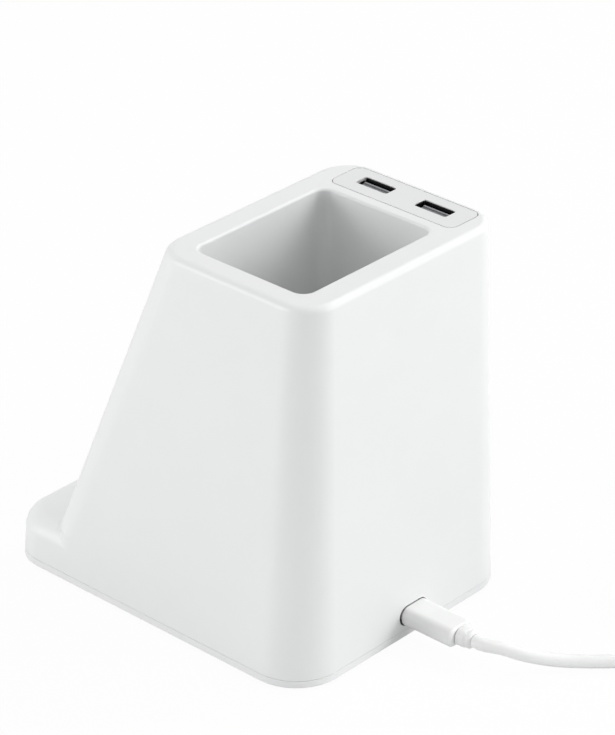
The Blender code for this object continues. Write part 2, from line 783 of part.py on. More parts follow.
def screw_mesh(name, radius, head_radius, head_height, length):
    """A pan-head screw that points up, its head's seat at z = 0, with a round drive recess."""
    steps = ROUND_SIDES // 2
    drive = head_radius * SCREW_DRIVE_RADIUS / SCREW_HEAD_RADIUS
    deep = head_height * SCREW_DRIVE_DEPTH / SCREW_HEAD_HEIGHT
    rings = []
    for size, height in ((drive, -head_height + deep), (drive, -head_height),
                         (head_radius * SCREW_HEAD_EDGE_SHARE, -head_height), (head_radius, -head_height / 2),
                         (head_radius, 0), (radius, 0), (radius, length - radius),
                         (radius * SCREW_TIP_SHARE, length)):
        turns = [2 * math.pi * step / steps for step in range(steps)]
        rings.append([Vector((size * math.cos(t), size * math.sin(t), height)) for t in turns])
    return loft(name, rings)


def add_base_screws(steel):
    names = ("base_screw_front_left", "base_screw_front_right", "base_screw_back_left", "base_screw_back_right")
    mesh = screw_mesh("base_screw", SCREW_RADIUS, SCREW_HEAD_RADIUS, SCREW_HEAD_HEIGHT, SCREW_LENGTH)
    for name, (x, y) in zip(names, boss_places()):
        screw = add_part(name, mesh, steel, smooth=True)
        screw.location = (x, y, level(COUNTERBORE_DEPTH) - CLEAR)


# USB-A ports
def add_port_strip(white):
    top = level(BODY_HEIGHT)
    centre = strip_centre()
    seat = top - STRIP_THICKNESS
    outline = rounded_rectangle(STRIP_WIDTH, STRIP_LENGTH, STRIP_CORNER)
    inner = rounded_rectangle(STRIP_WIDTH - 2 * STRIP_CHAMFER, STRIP_LENGTH - 2 * STRIP_CHAMFER,
                              STRIP_CORNER - STRIP_CHAMFER)
    strip = add_part("port_strip", loft("port_strip", [
        placed(outline, seat, centre), placed(outline, top - STRIP_CHAMFER, centre), placed(inner, top, centre)]),
        white, smooth=True)
    trim = 2 * (STRIP_SEAT + CLEAR)
    join(strip, add_cutter("strip_skirt", slab(
        "strip_skirt", STRIP_WIDTH - trim, STRIP_LENGTH - trim, STRIP_CORNER - trim / 2,
        top - STRIP_THICKNESS - STRIP_SKIRT, top - STRIP_THICKNESS / 2, centre)))
    for place, port in enumerate(port_centres()):
        cut(strip, add_cutter(f"port_window_{place}", slab(
            "port_window", PORT_HEIGHT + 2 * CLEAR, PORT_WIDTH + 2 * CLEAR, PORT_CORNER + CLEAR,
            top - STRIP_THICKNESS - STRIP_SKIRT - OVERRUN, top + OVERRUN, port, steps=2)))


def add_ports(steel, nylon):
    mouth = level(BODY_HEIGHT - PORT_SUNK)
    bottom = mouth - PORT_DEPTH
    bore_x = PORT_HEIGHT - 2 * PORT_SHELL_WALL
    bore_y = PORT_WIDTH - 2 * PORT_SHELL_WALL
    for name, (x, y) in zip(("front", "rear"), port_centres()):
        points = rounded_rectangle(PORT_HEIGHT, PORT_WIDTH, PORT_CORNER, 2)
        shell = add_part(f"usb_a_shell_{name}", loft("usb_a_shell", [
            placed(points, bottom, (x, y)), placed(points, mouth, (x, y))], capped=False), steel)
        thicken(shell, PORT_SHELL_WALL)
        tongue_x = x + PORT_TONGUE_OFFSET
        tongue = add_part(f"usb_a_tongue_{name}", block("usb_a_tongue", (
            bore_x - 2 * CLEAR, bore_y - 2 * CLEAR, PORT_BASE_DEPTH), (x, y, bottom + PORT_BASE_DEPTH / 2)), nylon)
        blade_top = mouth - PORT_TONGUE_SUNK
        blade_low = bottom + PORT_BASE_DEPTH / 2
        join(tongue, add_cutter(f"tongue_blade_{name}", block("tongue_blade", (
            PORT_TONGUE_THICKNESS, PORT_TONGUE_WIDTH, blade_top - blade_low),
            (tongue_x, y, (blade_top + blade_low) / 2))))


def add_port_board(laminate, nylon):
    low, high = port_board_box()
    add_part("port_board", span_block("port_board", low, high), laminate)
    middle_y = (low[1] + high[1]) / 2
    side = high[0] + CLEAR
    header = add_part("port_board_header", span_block("port_board_header", (
        side, middle_y - HEADER_WIDTH / 2, low[2]), (
        side + HEADER_DEPTH, middle_y + HEADER_WIDTH / 2, low[2] + HEADER_HEIGHT)), nylon)
    soften(header, PART_CORNER)


# Charging coil
def coil_points():
    """One flat spiral, from its inner end to its outer end, each end straight for a wire's width."""
    pitch = COIL_WIRE + COIL_GAP
    points = []
    count = COIL_TURNS * COIL_POINTS_PER_TURN
    for step in range(count + 1):
        turn = 2 * math.pi * step / COIL_POINTS_PER_TURN
        radius = COIL_INNER_RADIUS + pitch * turn / (2 * math.pi)
        points.append(Vector((radius * math.cos(turn), COIL_RISE + radius * math.sin(turn), -coil_depth())))
    points.insert(0, points[0] + Vector((0, -COIL_WIRE, 0)))
    points.append(points[-1] + Vector((0, COIL_WIRE, 0)))
    return points


def least_self_gap(points, width, apart):
    """The least clear space between stretches of a tube that lie further apart along it than apart."""
    spots = [tuple(point) for point in points]
    least = math.inf
    for here in range(len(spots)):
        for there in range(here + apart, len(spots)):
            least = min(least, math.dist(spots[here], spots[there]))
    return least - width


def add_coil_stack(copper, ferrite_black, nylon, steel, epoxy, frame):
    points = coil_points()
    gap = least_self_gap(points, COIL_WIRE, COIL_POINTS_PER_TURN // 2)
    print(f"charging coil: least gap to itself {gap * 1000:.2f} mm")
    add_tube("charging_coil", points, COIL_WIRE / 2, copper, frame, sides=1)

    plate = 2 * (coil_outer_radius() + FERRITE_MARGIN)
    back = -ferrite_depth() - FERRITE_THICKNESS
    ferrite = add_part("ferrite_plate", slab("ferrite_plate", plate, plate, CARRIER_CORNER, back, -ferrite_depth(),
                                             (0, COIL_RISE)), ferrite_black, frame)
    hole = COIL_INNER_RADIUS * FERRITE_HOLE_SHARE
    cut(ferrite, add_cutter("ferrite_hole", disc("ferrite_hole", hole, back - OVERRUN, -ferrite_depth() + OVERRUN,
                                                 (0, COIL_RISE)), frame))

    outer = 2 * carrier_half()
    front = -WALL - CLEAR
    rear = -carrier_depth() - CARRIER_THICKNESS
    carrier = add_part("coil_carrier", slab("coil_carrier", outer, outer, CARRIER_CORNER + CARRIER_RIM, rear, front,
                                            (0, COIL_RISE)), nylon, frame)
    reach = carrier_screw_places()[-1][0]
    for place, rise in enumerate(sorted({rise for _, rise in carrier_screw_places()})):
        join(carrier, add_cutter(f"carrier_ears_{place}", slab(
            "carrier_ears", 2 * (reach + CARRIER_BOSS_RADIUS), 2 * CARRIER_BOSS_RADIUS,
            CARRIER_BOSS_RADIUS - CLEAR, rear + EAR_STEP, -carrier_depth() - EAR_STEP, (0, rise)), frame))
    tray = plate + 2 * CLEAR
    cut(carrier, add_cutter("carrier_tray", slab("carrier_tray", tray, tray, CARRIER_CORNER + CLEAR,
                                                 -carrier_depth(), front + OVERRUN, (0, COIL_RISE)), frame))
    window = hole * CARRIER_WINDOW_SHARE
    cut(carrier, add_cutter("carrier_window", disc("carrier_window", window, rear - OVERRUN, -carrier_depth()
                                                   + OVERRUN, (0, COIL_RISE + hole / 2)), frame))
    screw = screw_mesh("carrier_screw", CARRIER_SCREW_RADIUS, CARRIER_SCREW_HEAD_RADIUS,
                       CARRIER_SCREW_HEAD_HEIGHT, CARRIER_SCREW_LENGTH)
    names = ("lower_left", "lower_right", "upper_left", "upper_right")
    for place, (x, rise) in enumerate(carrier_screw_places()):
        cut(carrier, add_cutter(f"ear_hole_{place}", disc(
            "ear_hole", CARRIER_SCREW_RADIUS + CLEAR, rear - OVERRUN, -carrier_depth() + OVERRUN, (x, rise),
            sides=ROUND_SIDES // 2), frame))
        fixing = add_part(f"carrier_screw_{names[place]}", screw, steel, frame, smooth=True)
        fixing.location = (x, rise, rear + EAR_STEP - CLEAR)

    sensor_top = -carrier_depth() + CLEAR + SENSOR_THICKNESS
    sensor = add_part("coil_sensor", disc("coil_sensor", SENSOR_RADIUS, -carrier_depth() + CLEAR, sensor_top,
                                          (0, COIL_RISE - hole / 2), sides=ROUND_SIDES // 2), epoxy, frame)
    soften(sensor, PART_CORNER)


# Main board
def add_main_board(laminate, frame_parts):
    epoxy, ferrite_black, aluminium, nylon, steel = frame_parts
    low, high = board_box()
    width = high[0] - low[0]
    centre = ((low[0] + high[0]) / 2, (low[1] + high[1]) / 2)
    board = add_part("main_board", slab("main_board", width, BOARD_DEPTH, BOARD_CORNER, low[2], high[2], centre,
                                        steps=3), laminate)
    screw = screw_mesh("board_screw", CARRIER_SCREW_RADIUS, CARRIER_SCREW_HEAD_RADIUS,
                       CARRIER_SCREW_HEAD_HEIGHT, BOARD_SCREW_LENGTH + BOARD_THICKNESS)
    for place, (x, y) in enumerate(standoff_places()):
        cut(board, add_cutter(f"board_hole_{place}", disc(
            "board_hole", CARRIER_SCREW_RADIUS + CLEAR, low[2] - OVERRUN, high[2] + OVERRUN, (x, y),
            sides=ROUND_SIDES // 2)))
    names = ("board_screw_front_left", "board_screw_front_right", "board_screw_back_left",
             "board_screw_back_right")
    for name, (x, y) in zip(names, standoff_places()):
        fixing = add_part(name, screw, steel, smooth=True)
        fixing.location = (x, y, high[2] + CLEAR)
        fixing.rotation_euler = (math.pi, 0, 0)

    floor = high[2] + CLEAR
    for name, size, tall, share in (("charge_controller", CONTROLLER_SIZE, CHIP_HEIGHT, CONTROLLER_PLACE_SHARES),
                                    ("port_controller", CHIP_SIZE, CHIP_HEIGHT, PORT_CHIP_PLACE_SHARES)):
        x, y = (low[axis] + (high[axis] - low[axis]) * share[axis] for axis in (0, 1))
        chip = add_part(name, block(name, (size, size, tall), (x, y, floor + tall / 2)), epoxy)
        soften(chip, PART_CORNER)
    for name, share in (("power_choke", CHOKE_PLACE_SHARES), ("resonance_choke", SECOND_CHOKE_PLACE_SHARES)):
        x, y = (low[axis] + (high[axis] - low[axis]) * share[axis] for axis in (0, 1))
        choke = add_part(name, slab(name, CHOKE_SIZE, CHOKE_SIZE, CHOKE_SIZE / 4, floor, floor + CHOKE_HEIGHT,
                                    (x, y), steps=3), ferrite_black)
        soften(choke, PART_CORNER)
    for name, share in (("input_capacitor", CAPACITOR_PLACE_SHARES),
                        ("output_capacitor", SECOND_CAPACITOR_PLACE_SHARES)):
        x, y = (low[axis] + (high[axis] - low[axis]) * share[axis] for axis in (0, 1))
        top = CAPACITOR_HEIGHT
        groove = CAPACITOR_RADIUS * CAPACITOR_GROOVE_SHARE
        profile = [(0, top), (CAPACITOR_RADIUS - PART_CORNER, top), (CAPACITOR_RADIUS, top - PART_CORNER),
                   (CAPACITOR_RADIUS, top / 4), (groove, top / 5), (CAPACITOR_RADIUS, top / 6),
                   (CAPACITOR_RADIUS, 0), (0, 0)]
        can = add_turned(name, profile, aluminium, steps=ROUND_SIDES // 2)
        can.location = (x, y, floor)
    for name, share in (("port_header", PORT_HEADER_PLACE_SHARES), ("coil_header", COIL_HEADER_PLACE_SHARES)):
        x, y = header_place(share)
        header = add_part(name, block(name, (HEADER_DEPTH, HEADER_WIDTH, HEADER_HEIGHT), (
            x, y, floor + HEADER_HEIGHT / 2)), nylon)
        soften(header, PART_CORNER)


def header_place(share):
    low, high = board_box()
    return tuple(low[axis] + (high[axis] - low[axis]) * share[axis] for axis in (0, 1))


def add_wires(sheath, red_sheath):
    """The port harness and the coil's lead, each along its real way inside the housing."""
    board_top = board_box()[1][2] + CLEAR + HEADER_HEIGHT + CLEAR
    port_low, port_high = port_board_box()
    x, y = header_place(PORT_HEADER_PLACE_SHARES)
    end_x = port_high[0] + CLEAR + HEADER_DEPTH / 2
    end_y = (port_low[1] + port_high[1]) / 2
    end_z = port_low[2] - CLEAR
    rise = end_z - board_top
    tub_x, _, tub_width, _ = pocket_box(POCKET_FLOOR)
    beside = tub_x - tub_width / 2 - POCKET_WALL - 2 * HARNESS_RADIUS
    route = [Vector((x, y, board_top)), Vector((x, y, board_top + 2 * HARNESS_RADIUS)),
             Vector((min(x, beside), y, level(POCKET_FLOOR - POCKET_WALL))),
             Vector((min((x + end_x) / 2, beside), y + (end_y - y) / 4, board_top + rise / 3)),
             Vector((end_x, end_y, end_z - rise / 3)), Vector((end_x, end_y, end_z - 4 * HARNESS_RADIUS)),
             Vector((end_x, end_y, end_z))]
    add_tube("port_harness", smooth_route(route, LEAD_STEP), HARNESS_RADIUS, sheath)

    x, y = header_place(COIL_HEADER_PLACE_SHARES)
    hole = COIL_INNER_RADIUS * FERRITE_HOLE_SHARE
    up = Vector((0, math.cos(slope_angle()), math.sin(slope_angle())))
    inward = Vector((0, math.sin(slope_angle()), -math.cos(slope_angle())))
    window = Vector((0, front_face(0), level(0))) + up * (COIL_RISE + hole / 2)
    window += inward * (carrier_depth() + CARRIER_THICKNESS / 2)
    behind = inward * (CARRIER_THICKNESS + 3 * COIL_LEAD_RADIUS)
    route = [window, window + behind, window + behind * 2 - up * (hole + 2 * COIL_LEAD_RADIUS),
             window + behind * 2 - up * (COIL_RISE / 2),
             Vector((x / 2, (y + front_face(POCKET_FLOOR)) / 2, board_top + 4 * HARNESS_RADIUS)),
             Vector((x, y, board_top + 3 * HARNESS_RADIUS)), Vector((x, y, board_top))]
    add_tube("coil_lead", smooth_route(route, LEAD_STEP), COIL_LEAD_RADIUS, red_sheath)


# USB-C inlet
def socket_mouth():
    return back_face(INLET_HEIGHT) - WALL - CLEAR


def add_socket(steel, nylon):
    centre = (INLET_X, level(INLET_HEIGHT))
    mouth = socket_mouth()
    rear = mouth - SOCKET_LENGTH
    corner = SOCKET_TALL / 2 - CLEAR
    shell = add_part("usb_c_shell", sleeve("usb_c_shell", SOCKET_WIDTH, SOCKET_TALL, corner, rear, mouth, centre),
                     steel)
    thicken(shell, SOCKET_WALL)
    inner = SOCKET_WALL + CLEAR
    base_front = rear + SOCKET_BASE_LENGTH
    tongue = add_part("usb_c_tongue", bar_along_y("usb_c_tongue", [
        (rear, SOCKET_WIDTH - 2 * inner, SOCKET_TALL - 2 * inner, corner - inner),
        (base_front, SOCKET_WIDTH - 2 * inner, SOCKET_TALL - 2 * inner, corner - inner)], centre), nylon)
    low = (centre[0] - SOCKET_TONGUE_WIDTH / 2, rear + SOCKET_BASE_LENGTH / 2, centre[1] - SOCKET_TONGUE_THICKNESS / 2)
    high = (centre[0] + SOCKET_TONGUE_WIDTH / 2, base_front + SOCKET_TONGUE_LENGTH,
            centre[1] + SOCKET_TONGUE_THICKNESS / 2)
    join(tongue, add_cutter("socket_blade", span_block("socket_blade", low, high)))


# Charging lead
def plug_face():
    return socket_mouth() + CLEAR


def lead_exit():
    collar_end = plug_face() + PLUG_LENGTH + CLEAR + NECK_LENGTH + COLLAR_LENGTH
    return Vector((INLET_X, collar_end, level(INLET_HEIGHT)))


def wound_points():
    """The wound part of the lead: a flat spiral in, a climb of one layer, and a spiral out above it."""
    pitch = 2 * LEAD_RADIUS + WOUND_GAP
    low = LEAD_RADIUS + TIE_THICKNESS + CLEAR
    inner = WOUND_MIDDLE_RADIUS - pitch * WOUND_TURNS / 2
    total = 2 * WOUND_TURNS + WOUND_CLIMB_TURNS
    count = round(total * WOUND_POINTS_PER_TURN)
    points = []
    for step in range(count + 1):
        turns = total * step / count
        if turns < WOUND_TURNS:
            reach, lift = WOUND_TURNS - turns, 0.0
        elif turns < WOUND_TURNS + WOUND_CLIMB_TURNS:
            reach, lift = 0.0, (turns - WOUND_TURNS) / WOUND_CLIMB_TURNS
        else:
            reach, lift = turns - WOUND_TURNS - WOUND_CLIMB_TURNS, 1.0
        radius = inner + pitch * reach
        turn = WOUND_START + 2 * math.pi * turns
        points.append(Vector((WOUND_CENTRE[0] + radius * math.cos(turn),
                              WOUND_CENTRE[1] + radius * math.sin(turn), low + pitch * lift)))
    start_turn = WOUND_START + math.pi / 2
    end_turn = WOUND_START + 2 * math.pi * total + math.pi / 2
    straight = 2 * LEAD_RADIUS
    points.insert(0, points[0] - Vector((math.cos(start_turn), math.sin(start_turn), 0)) * straight)
    points.append(points[-1] + Vector((math.cos(end_turn), math.sin(end_turn), 0)) * straight)
    return points


def add_lead(soft_white, steel, nylon, tie_grey):
    centre = (INLET_X, level(INLET_HEIGHT))
    face = plug_face()
    rear = face + PLUG_LENGTH
    plug = bar_along_y("lead_plug", [
        (face, PLUG_WIDTH - 2 * PLUG_EDGE, PLUG_TALL - 2 * PLUG_EDGE, PLUG_CORNER - PLUG_EDGE),
        (face + PLUG_EDGE, PLUG_WIDTH, PLUG_TALL, PLUG_CORNER),
        (rear - PLUG_EDGE, PLUG_WIDTH, PLUG_TALL, PLUG_CORNER),
        (rear, PLUG_WIDTH - 2 * PLUG_EDGE, PLUG_TALL - 2 * PLUG_EDGE, PLUG_CORNER - PLUG_EDGE)],
        centre, CORNER_STEPS)
    add_part("lead_plug", plug, soft_white, smooth=True)
    nose = PLUG_SHELL_LENGTH
    shell = add_part("lead_plug_shell", sleeve(
        "lead_plug_shell", PLUG_SHELL_WIDTH, PLUG_SHELL_TALL, PLUG_SHELL_TALL / 2 - CLEAR / 2,
        face - CLEAR - nose, face - CLEAR, centre), steel)
    thicken(shell, PLUG_SHELL_WALL)

    neck = rear + CLEAR
    collar = neck + NECK_LENGTH
    end = collar + COLLAR_LENGTH
    round_width = 2 * COLLAR_RADIUS
    relief = bar_along_y("lead_relief", [
        (neck, NECK_WIDTH, NECK_TALL, NECK_TALL / 2 - CLEAR),
        (collar - PLUG_EDGE, NECK_WIDTH * NECK_TAPER_SHARE, NECK_TALL, NECK_TALL / 2 - CLEAR),
        (collar, round_width, NECK_TALL - PLUG_EDGE, NECK_TALL / 2 - PLUG_EDGE),
        (collar, round_width, round_width, COLLAR_RADIUS - CLEAR / 2),
        (end - PLUG_EDGE, round_width, round_width, COLLAR_RADIUS - CLEAR / 2),
        (end, round_width - 2 * PLUG_EDGE, round_width - 2 * PLUG_EDGE, COLLAR_RADIUS - PLUG_EDGE - CLEAR / 2)],
        centre, CORNER_STEPS)
    add_part("lead_relief", relief, soft_white, smooth=True)

    wound = wound_points()
    gap = least_self_gap(wound, 2 * LEAD_RADIUS, WOUND_POINTS_PER_TURN // 2)
    start = lead_exit() + Vector((0, CLEAR, 0))
    aim = (wound[1] - wound[0]).normalized()
    meet = wound[0] - aim * CLEAR
    route = [start, start + Vector((0, 3 * LEAD_RADIUS / 2, 0))] + [Vector(spot) for spot in LEAD_ROUTE]
    route += [meet - aim * 2 * LEAD_RADIUS, meet]
    free = smooth_route(route, LEAD_STEP / 3)
    add_tube("lead_cable", free, LEAD_RADIUS, soft_white, sides=2)
    add_tube("lead_wound", wound, LEAD_RADIUS, soft_white, sides=1)
    print(f"lead: least gap to itself {gap * 1000:.2f} mm, free {route_length(free):.4f} m, "
          f"wound {route_length(wound):.4f} m")
    add_far_plug(wound, soft_white, steel, nylon)
    add_tie(tie_grey, wound)


def add_far_plug(wound, soft_white, steel, nylon):
    """The supply end of the lead: a USB-A plug in line with the wound part's last stretch."""
    aim = (wound[-1] - wound[-2]).normalized()
    start = wound[-1] + aim * CLEAR
    drop = Vector((0, 0, FAR_PLUG_TALL / 2 + CLEAR - start.z))
    route = [start, start + aim * 2 * LEAD_RADIUS, start + aim * TAIL_LENGTH / 2 + drop / 2,
             start + aim * (TAIL_LENGTH - 2 * LEAD_RADIUS) + drop, start + aim * TAIL_LENGTH + drop]
    tail = smooth_route(route, LEAD_STEP)
    add_tube("lead_tail", tail, LEAD_RADIUS, soft_white)
    print(f"lead: tail {route_length(tail):.4f} m")
    mount = bpy.data.objects.new("far_plug_line", None)
    collection(PARTS).objects.link(mount)
    mount.location = tail[-1] + aim * CLEAR
    mount.rotation_euler = (0, 0, math.atan2(aim.y, aim.x) - math.pi / 2)
    wide = 2 * FAR_RELIEF_RADIUS
    slim = 2 * (LEAD_RADIUS + PLAY)
    relief = bar_along_y("far_plug_relief", [
        (0, slim, slim, slim / 2 - CLEAR / 2),
        (FAR_RELIEF_LENGTH, wide, wide, wide / 2 - CLEAR / 2)], (0, 0), CORNER_STEPS)
    add_part("far_plug_relief", relief, soft_white, mount, smooth=True)
    near = FAR_RELIEF_LENGTH + CLEAR
    far = near + FAR_PLUG_LENGTH
    body = bar_along_y("far_plug", [
        (near, FAR_PLUG_WIDTH - 2 * PLUG_EDGE, FAR_PLUG_TALL - 2 * PLUG_EDGE, FAR_PLUG_CORNER - PLUG_EDGE),
        (near + PLUG_EDGE, FAR_PLUG_WIDTH, FAR_PLUG_TALL, FAR_PLUG_CORNER),
        (far - PLUG_EDGE, FAR_PLUG_WIDTH, FAR_PLUG_TALL, FAR_PLUG_CORNER),
        (far, FAR_PLUG_WIDTH - 2 * PLUG_EDGE, FAR_PLUG_TALL - 2 * PLUG_EDGE, FAR_PLUG_CORNER - PLUG_EDGE)],
        (0, 0), CORNER_STEPS)
    add_part("far_plug", body, soft_white, mount, smooth=True)
    shell = add_part("far_plug_shell", sleeve(
        "far_plug_shell", FAR_SHELL_WIDTH, FAR_SHELL_TALL, PORT_CORNER, far + CLEAR,
        far + CLEAR + FAR_SHELL_LENGTH, (0, 0)), steel, mount)
    thicken(shell, FAR_SHELL_WALL)
    inside = FAR_SHELL_WALL + CLEAR
    floor = -FAR_SHELL_TALL / 2 + inside
    insert = span_block("far_plug_insert", (-FAR_SHELL_WIDTH / 2 + inside, far + CLEAR, floor), (
        FAR_SHELL_WIDTH / 2 - inside, far + FAR_SHELL_LENGTH, floor + FAR_INSERT_THICKNESS))
    add_part("far_plug_insert", insert, nylon, mount)


def add_tie(tie_grey, wound):
    """A flat strap round the turns of the wound lead that pass through it, closed on itself."""
    pitch = 2 * LEAD_RADIUS + WOUND_GAP
    along = Vector((math.cos(TIE_ANGLE), math.sin(TIE_ANGLE), 0))
    across = Vector((-along.y, along.x, 0))
    spots = [point - Vector((*WOUND_CENTRE, 0)) for point in wound]
    held = [spot.dot(along) for spot in spots
            if spot.dot(along) > 0 and abs(spot.dot(across)) < TIE_WIDTH / 2 + 2 * LEAD_RADIUS]
    inner = min(held) - LEAD_RADIUS - CLEAR
    outer = max(held) + LEAD_RADIUS + CLEAR
    bore_long = outer - inner
    bore_tall = 2 * LEAD_RADIUS + pitch + 2 * CLEAR
    mount = bpy.data.objects.new("tie_line", None)
    collection(PARTS).objects.link(mount)
    mount.location = (WOUND_CENTRE[0], WOUND_CENTRE[1], 0)
    mount.rotation_euler = (0, 0, TIE_ANGLE)
    middle = (inner + outer) / 2
    corner = LEAD_RADIUS
    points = rounded_rectangle(bore_long + 2 * TIE_THICKNESS, bore_tall + 2 * TIE_THICKNESS,
                               corner + TIE_THICKNESS, ROUND_STEPS)
    height = bore_tall / 2 + TIE_THICKNESS
    rings = [[Vector((middle + x, y, height + z)) for x, z in points] for y in (-TIE_WIDTH / 2, TIE_WIDTH / 2)]
    tie = add_part("lead_tie", loft("lead_tie", rings, capped=False), tie_grey, mount)
    thicken(tie, TIE_THICKNESS)


def build():
    clear_scene()
    white = finish("housing_abs", (0.86, 0.86, 0.855), 0.42)
    cover_white = finish("cover_abs", (0.82, 0.82, 0.82), 0.5)
    soft_white = finish("lead_tpe", (0.84, 0.84, 0.83), 0.45)
    rubber = finish("foot_rubber", (0.05, 0.05, 0.05), 0.8)
    steel = finish("steel", (0.62, 0.62, 0.63), 0.28, 1.0)
    nylon = finish("nylon", (0.7, 0.7, 0.69), 0.5)
    laminate = finish("board_laminate", (0.02, 0.16, 0.08), 0.5)
    epoxy = finish("chip_epoxy", (0.02, 0.02, 0.022), 0.45)
    ferrite_black = finish("ferrite", (0.035, 0.033, 0.032), 0.6)
    aluminium = finish("aluminium", (0.75, 0.75, 0.76), 0.35, 1.0)
    copper = finish("enamelled_copper", (0.72, 0.33, 0.16), 0.35, 1.0)
    sheath = finish("harness_sheath", (0.08, 0.08, 0.085), 0.55)
    red_sheath = finish("coil_lead_sheath", (0.5, 0.03, 0.03), 0.5)
    tie_grey = finish("tie", (0.72, 0.72, 0.72), 0.6)

    frame = slope_frame()
    bpy.context.view_layer.update()
    add_housing(white, frame)
    add_base_cover(cover_white)
    add_feet(rubber)
    add_base_screws(steel)
    add_port_strip(white)
    add_ports(steel, nylon)
    add_port_board(laminate, nylon)
    add_coil_stack(copper, ferrite_black, nylon, steel, epoxy, frame)
    add_main_board(laminate, (epoxy, ferrite_black, aluminium, nylon, steel))
    add_wires(sheath, red_sheath)
    add_socket(steel, nylon)
    add_lead(soft_white, steel, nylon, tie_grey)


build()
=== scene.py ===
"""Wireless charger pen holder: finishes, fine detail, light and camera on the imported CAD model.

Metres, +Z up, in the CAD's own frame: the sloped charging face looks to -Y, the power inlet is in
the back wall at +Y, and the USB-A strip lies along the -X side of the top.
"""
import json
import math

import bmesh
import bpy
from mathutils import Matrix, Vector

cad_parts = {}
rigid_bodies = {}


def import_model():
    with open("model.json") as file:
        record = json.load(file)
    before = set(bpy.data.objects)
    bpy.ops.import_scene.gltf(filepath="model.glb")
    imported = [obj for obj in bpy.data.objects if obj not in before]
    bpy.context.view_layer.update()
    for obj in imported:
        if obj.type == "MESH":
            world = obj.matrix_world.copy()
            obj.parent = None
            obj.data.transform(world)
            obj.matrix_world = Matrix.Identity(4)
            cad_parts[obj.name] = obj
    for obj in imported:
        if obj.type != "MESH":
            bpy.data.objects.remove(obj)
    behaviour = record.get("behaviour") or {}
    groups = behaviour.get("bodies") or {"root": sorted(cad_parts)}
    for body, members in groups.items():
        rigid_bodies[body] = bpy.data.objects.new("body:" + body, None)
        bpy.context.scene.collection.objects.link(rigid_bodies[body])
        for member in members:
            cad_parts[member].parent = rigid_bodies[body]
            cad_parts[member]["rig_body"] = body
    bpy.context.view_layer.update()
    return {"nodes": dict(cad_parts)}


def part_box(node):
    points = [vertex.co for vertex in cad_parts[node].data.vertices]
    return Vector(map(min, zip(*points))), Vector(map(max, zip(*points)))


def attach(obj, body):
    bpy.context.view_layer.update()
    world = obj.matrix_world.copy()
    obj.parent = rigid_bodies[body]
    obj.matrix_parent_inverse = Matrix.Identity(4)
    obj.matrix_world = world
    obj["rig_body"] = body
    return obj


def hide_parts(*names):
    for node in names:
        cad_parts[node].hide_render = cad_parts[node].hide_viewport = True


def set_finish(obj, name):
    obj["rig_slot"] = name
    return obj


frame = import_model()
bpy.ops.object.select_all(action="DESELECT")
MM = 0.001

# Camera, fitted to the photograph's own edges
CAMERA_PLACE = Vector((0.70425, 0.66803, 0.60043))
CAMERA_RIGHT = Vector((-0.67563, 0.73724, -0.0008))
CAMERA_UP = Vector((-0.35375, -0.32320, 0.87772))
CAMERA_BACK = Vector((0.64682, 0.59331, 0.47917))
CAMERA_LENS = 176.96
SENSOR = 36.0
CAMERA_SHIFT = (-0.00284, -0.00082)

# Charging lead: the same route as in the CAD model
LEAD_RADIUS = 2.1 * MM
LEAD_START = Vector((-2.4, 86.95, 8.0)) * MM
LEAD_STEP = 2.2 * MM
LEAD_CLEAR = 0.3 * MM
TIE_THICKNESS = 0.6 * MM
TIE_ANGLE = math.radians(320)
LEAD_SPOTS = (
    (-5.4, 95.3, 7.4), (-8.3, 99.9, 6.1), (-11.6, 103.4, 4.8), (-15.3, 106.6, 3.6), (-19.0, 109.9, 2.8),
    (-23.8, 114.4, 2.3), (-29.1, 119.8, 2.2), (-38.5, 129.2, 2.3), (-48.0, 139.0, 2.7),
)
WOUND_CENTRE = (-80.9 * MM, 125.1 * MM)
WOUND_START = math.radians(46)
WOUND_CLIMB_TURNS = 0.5
WOUND_TURNS = 2.929
WOUND_MIDDLE_RADIUS = 23.5 * MM
WOUND_PITCH = 2 * LEAD_RADIUS + 1.02 * MM
WOUND_POINTS_PER_TURN = 36
TAIL_LENGTH = 20 * MM

# How finely the lead's curve is sliced before its points are spaced evenly
CURVE_SLICES = 40

# Supply plug at the lead's far end
RELIEF_LENGTH = 7.5 * MM
RELIEF_RADIUS = 2.9 * MM
RELIEF_WALL = 0.5 * MM
RELIEF_EASE = 0.12 * MM
# Each step of the relief: how far it goes on, and how deep it dips
RELIEF_STEPS = [(length * MM, dip * MM) for length, dip in (
    (1.0, 0.0), (0.1, 0.35), (0.8, 0.35), (0.1, 0.0), (1.0, 0.0), (0.1, 0.35), (0.8, 0.35), (0.1, 0.0),
    (1.0, 0.0), (0.1, 0.35), (0.8, 0.35), (0.1, 0.0), (1.5, 0.0))]
SUPPLY_WIDTH = 15.8 * MM
SUPPLY_TALL = 7.8 * MM
SUPPLY_LENGTH = 22.2 * MM
SUPPLY_CORNER = 2.2 * MM
SUPPLY_EASE = 0.7 * MM
SUPPLY_WAIST = 0.985
# How far each of the waist's three steps reaches from the middle, as shares of the length
SUPPLY_WAIST_REACHES = (0.3, 0.2, 0.1)
SUPPLY_SHELL_WIDTH = 12.0 * MM
SUPPLY_SHELL_TALL = 4.5 * MM
SUPPLY_SHELL_LENGTH = 11.8 * MM
WINDOW_SIZE = 2.2 * MM
WINDOW_SPREAD = 2.9 * MM
INSERT_THICKNESS = 1.9 * MM
STRAP_WIDTH = 9 * MM
STRAP_END_LENGTH = 13 * MM
STRAP_END_THICKNESS = 0.8 * MM
STRAP_END_SHARE = 0.94
STRAP_EASE = 0.1 * MM

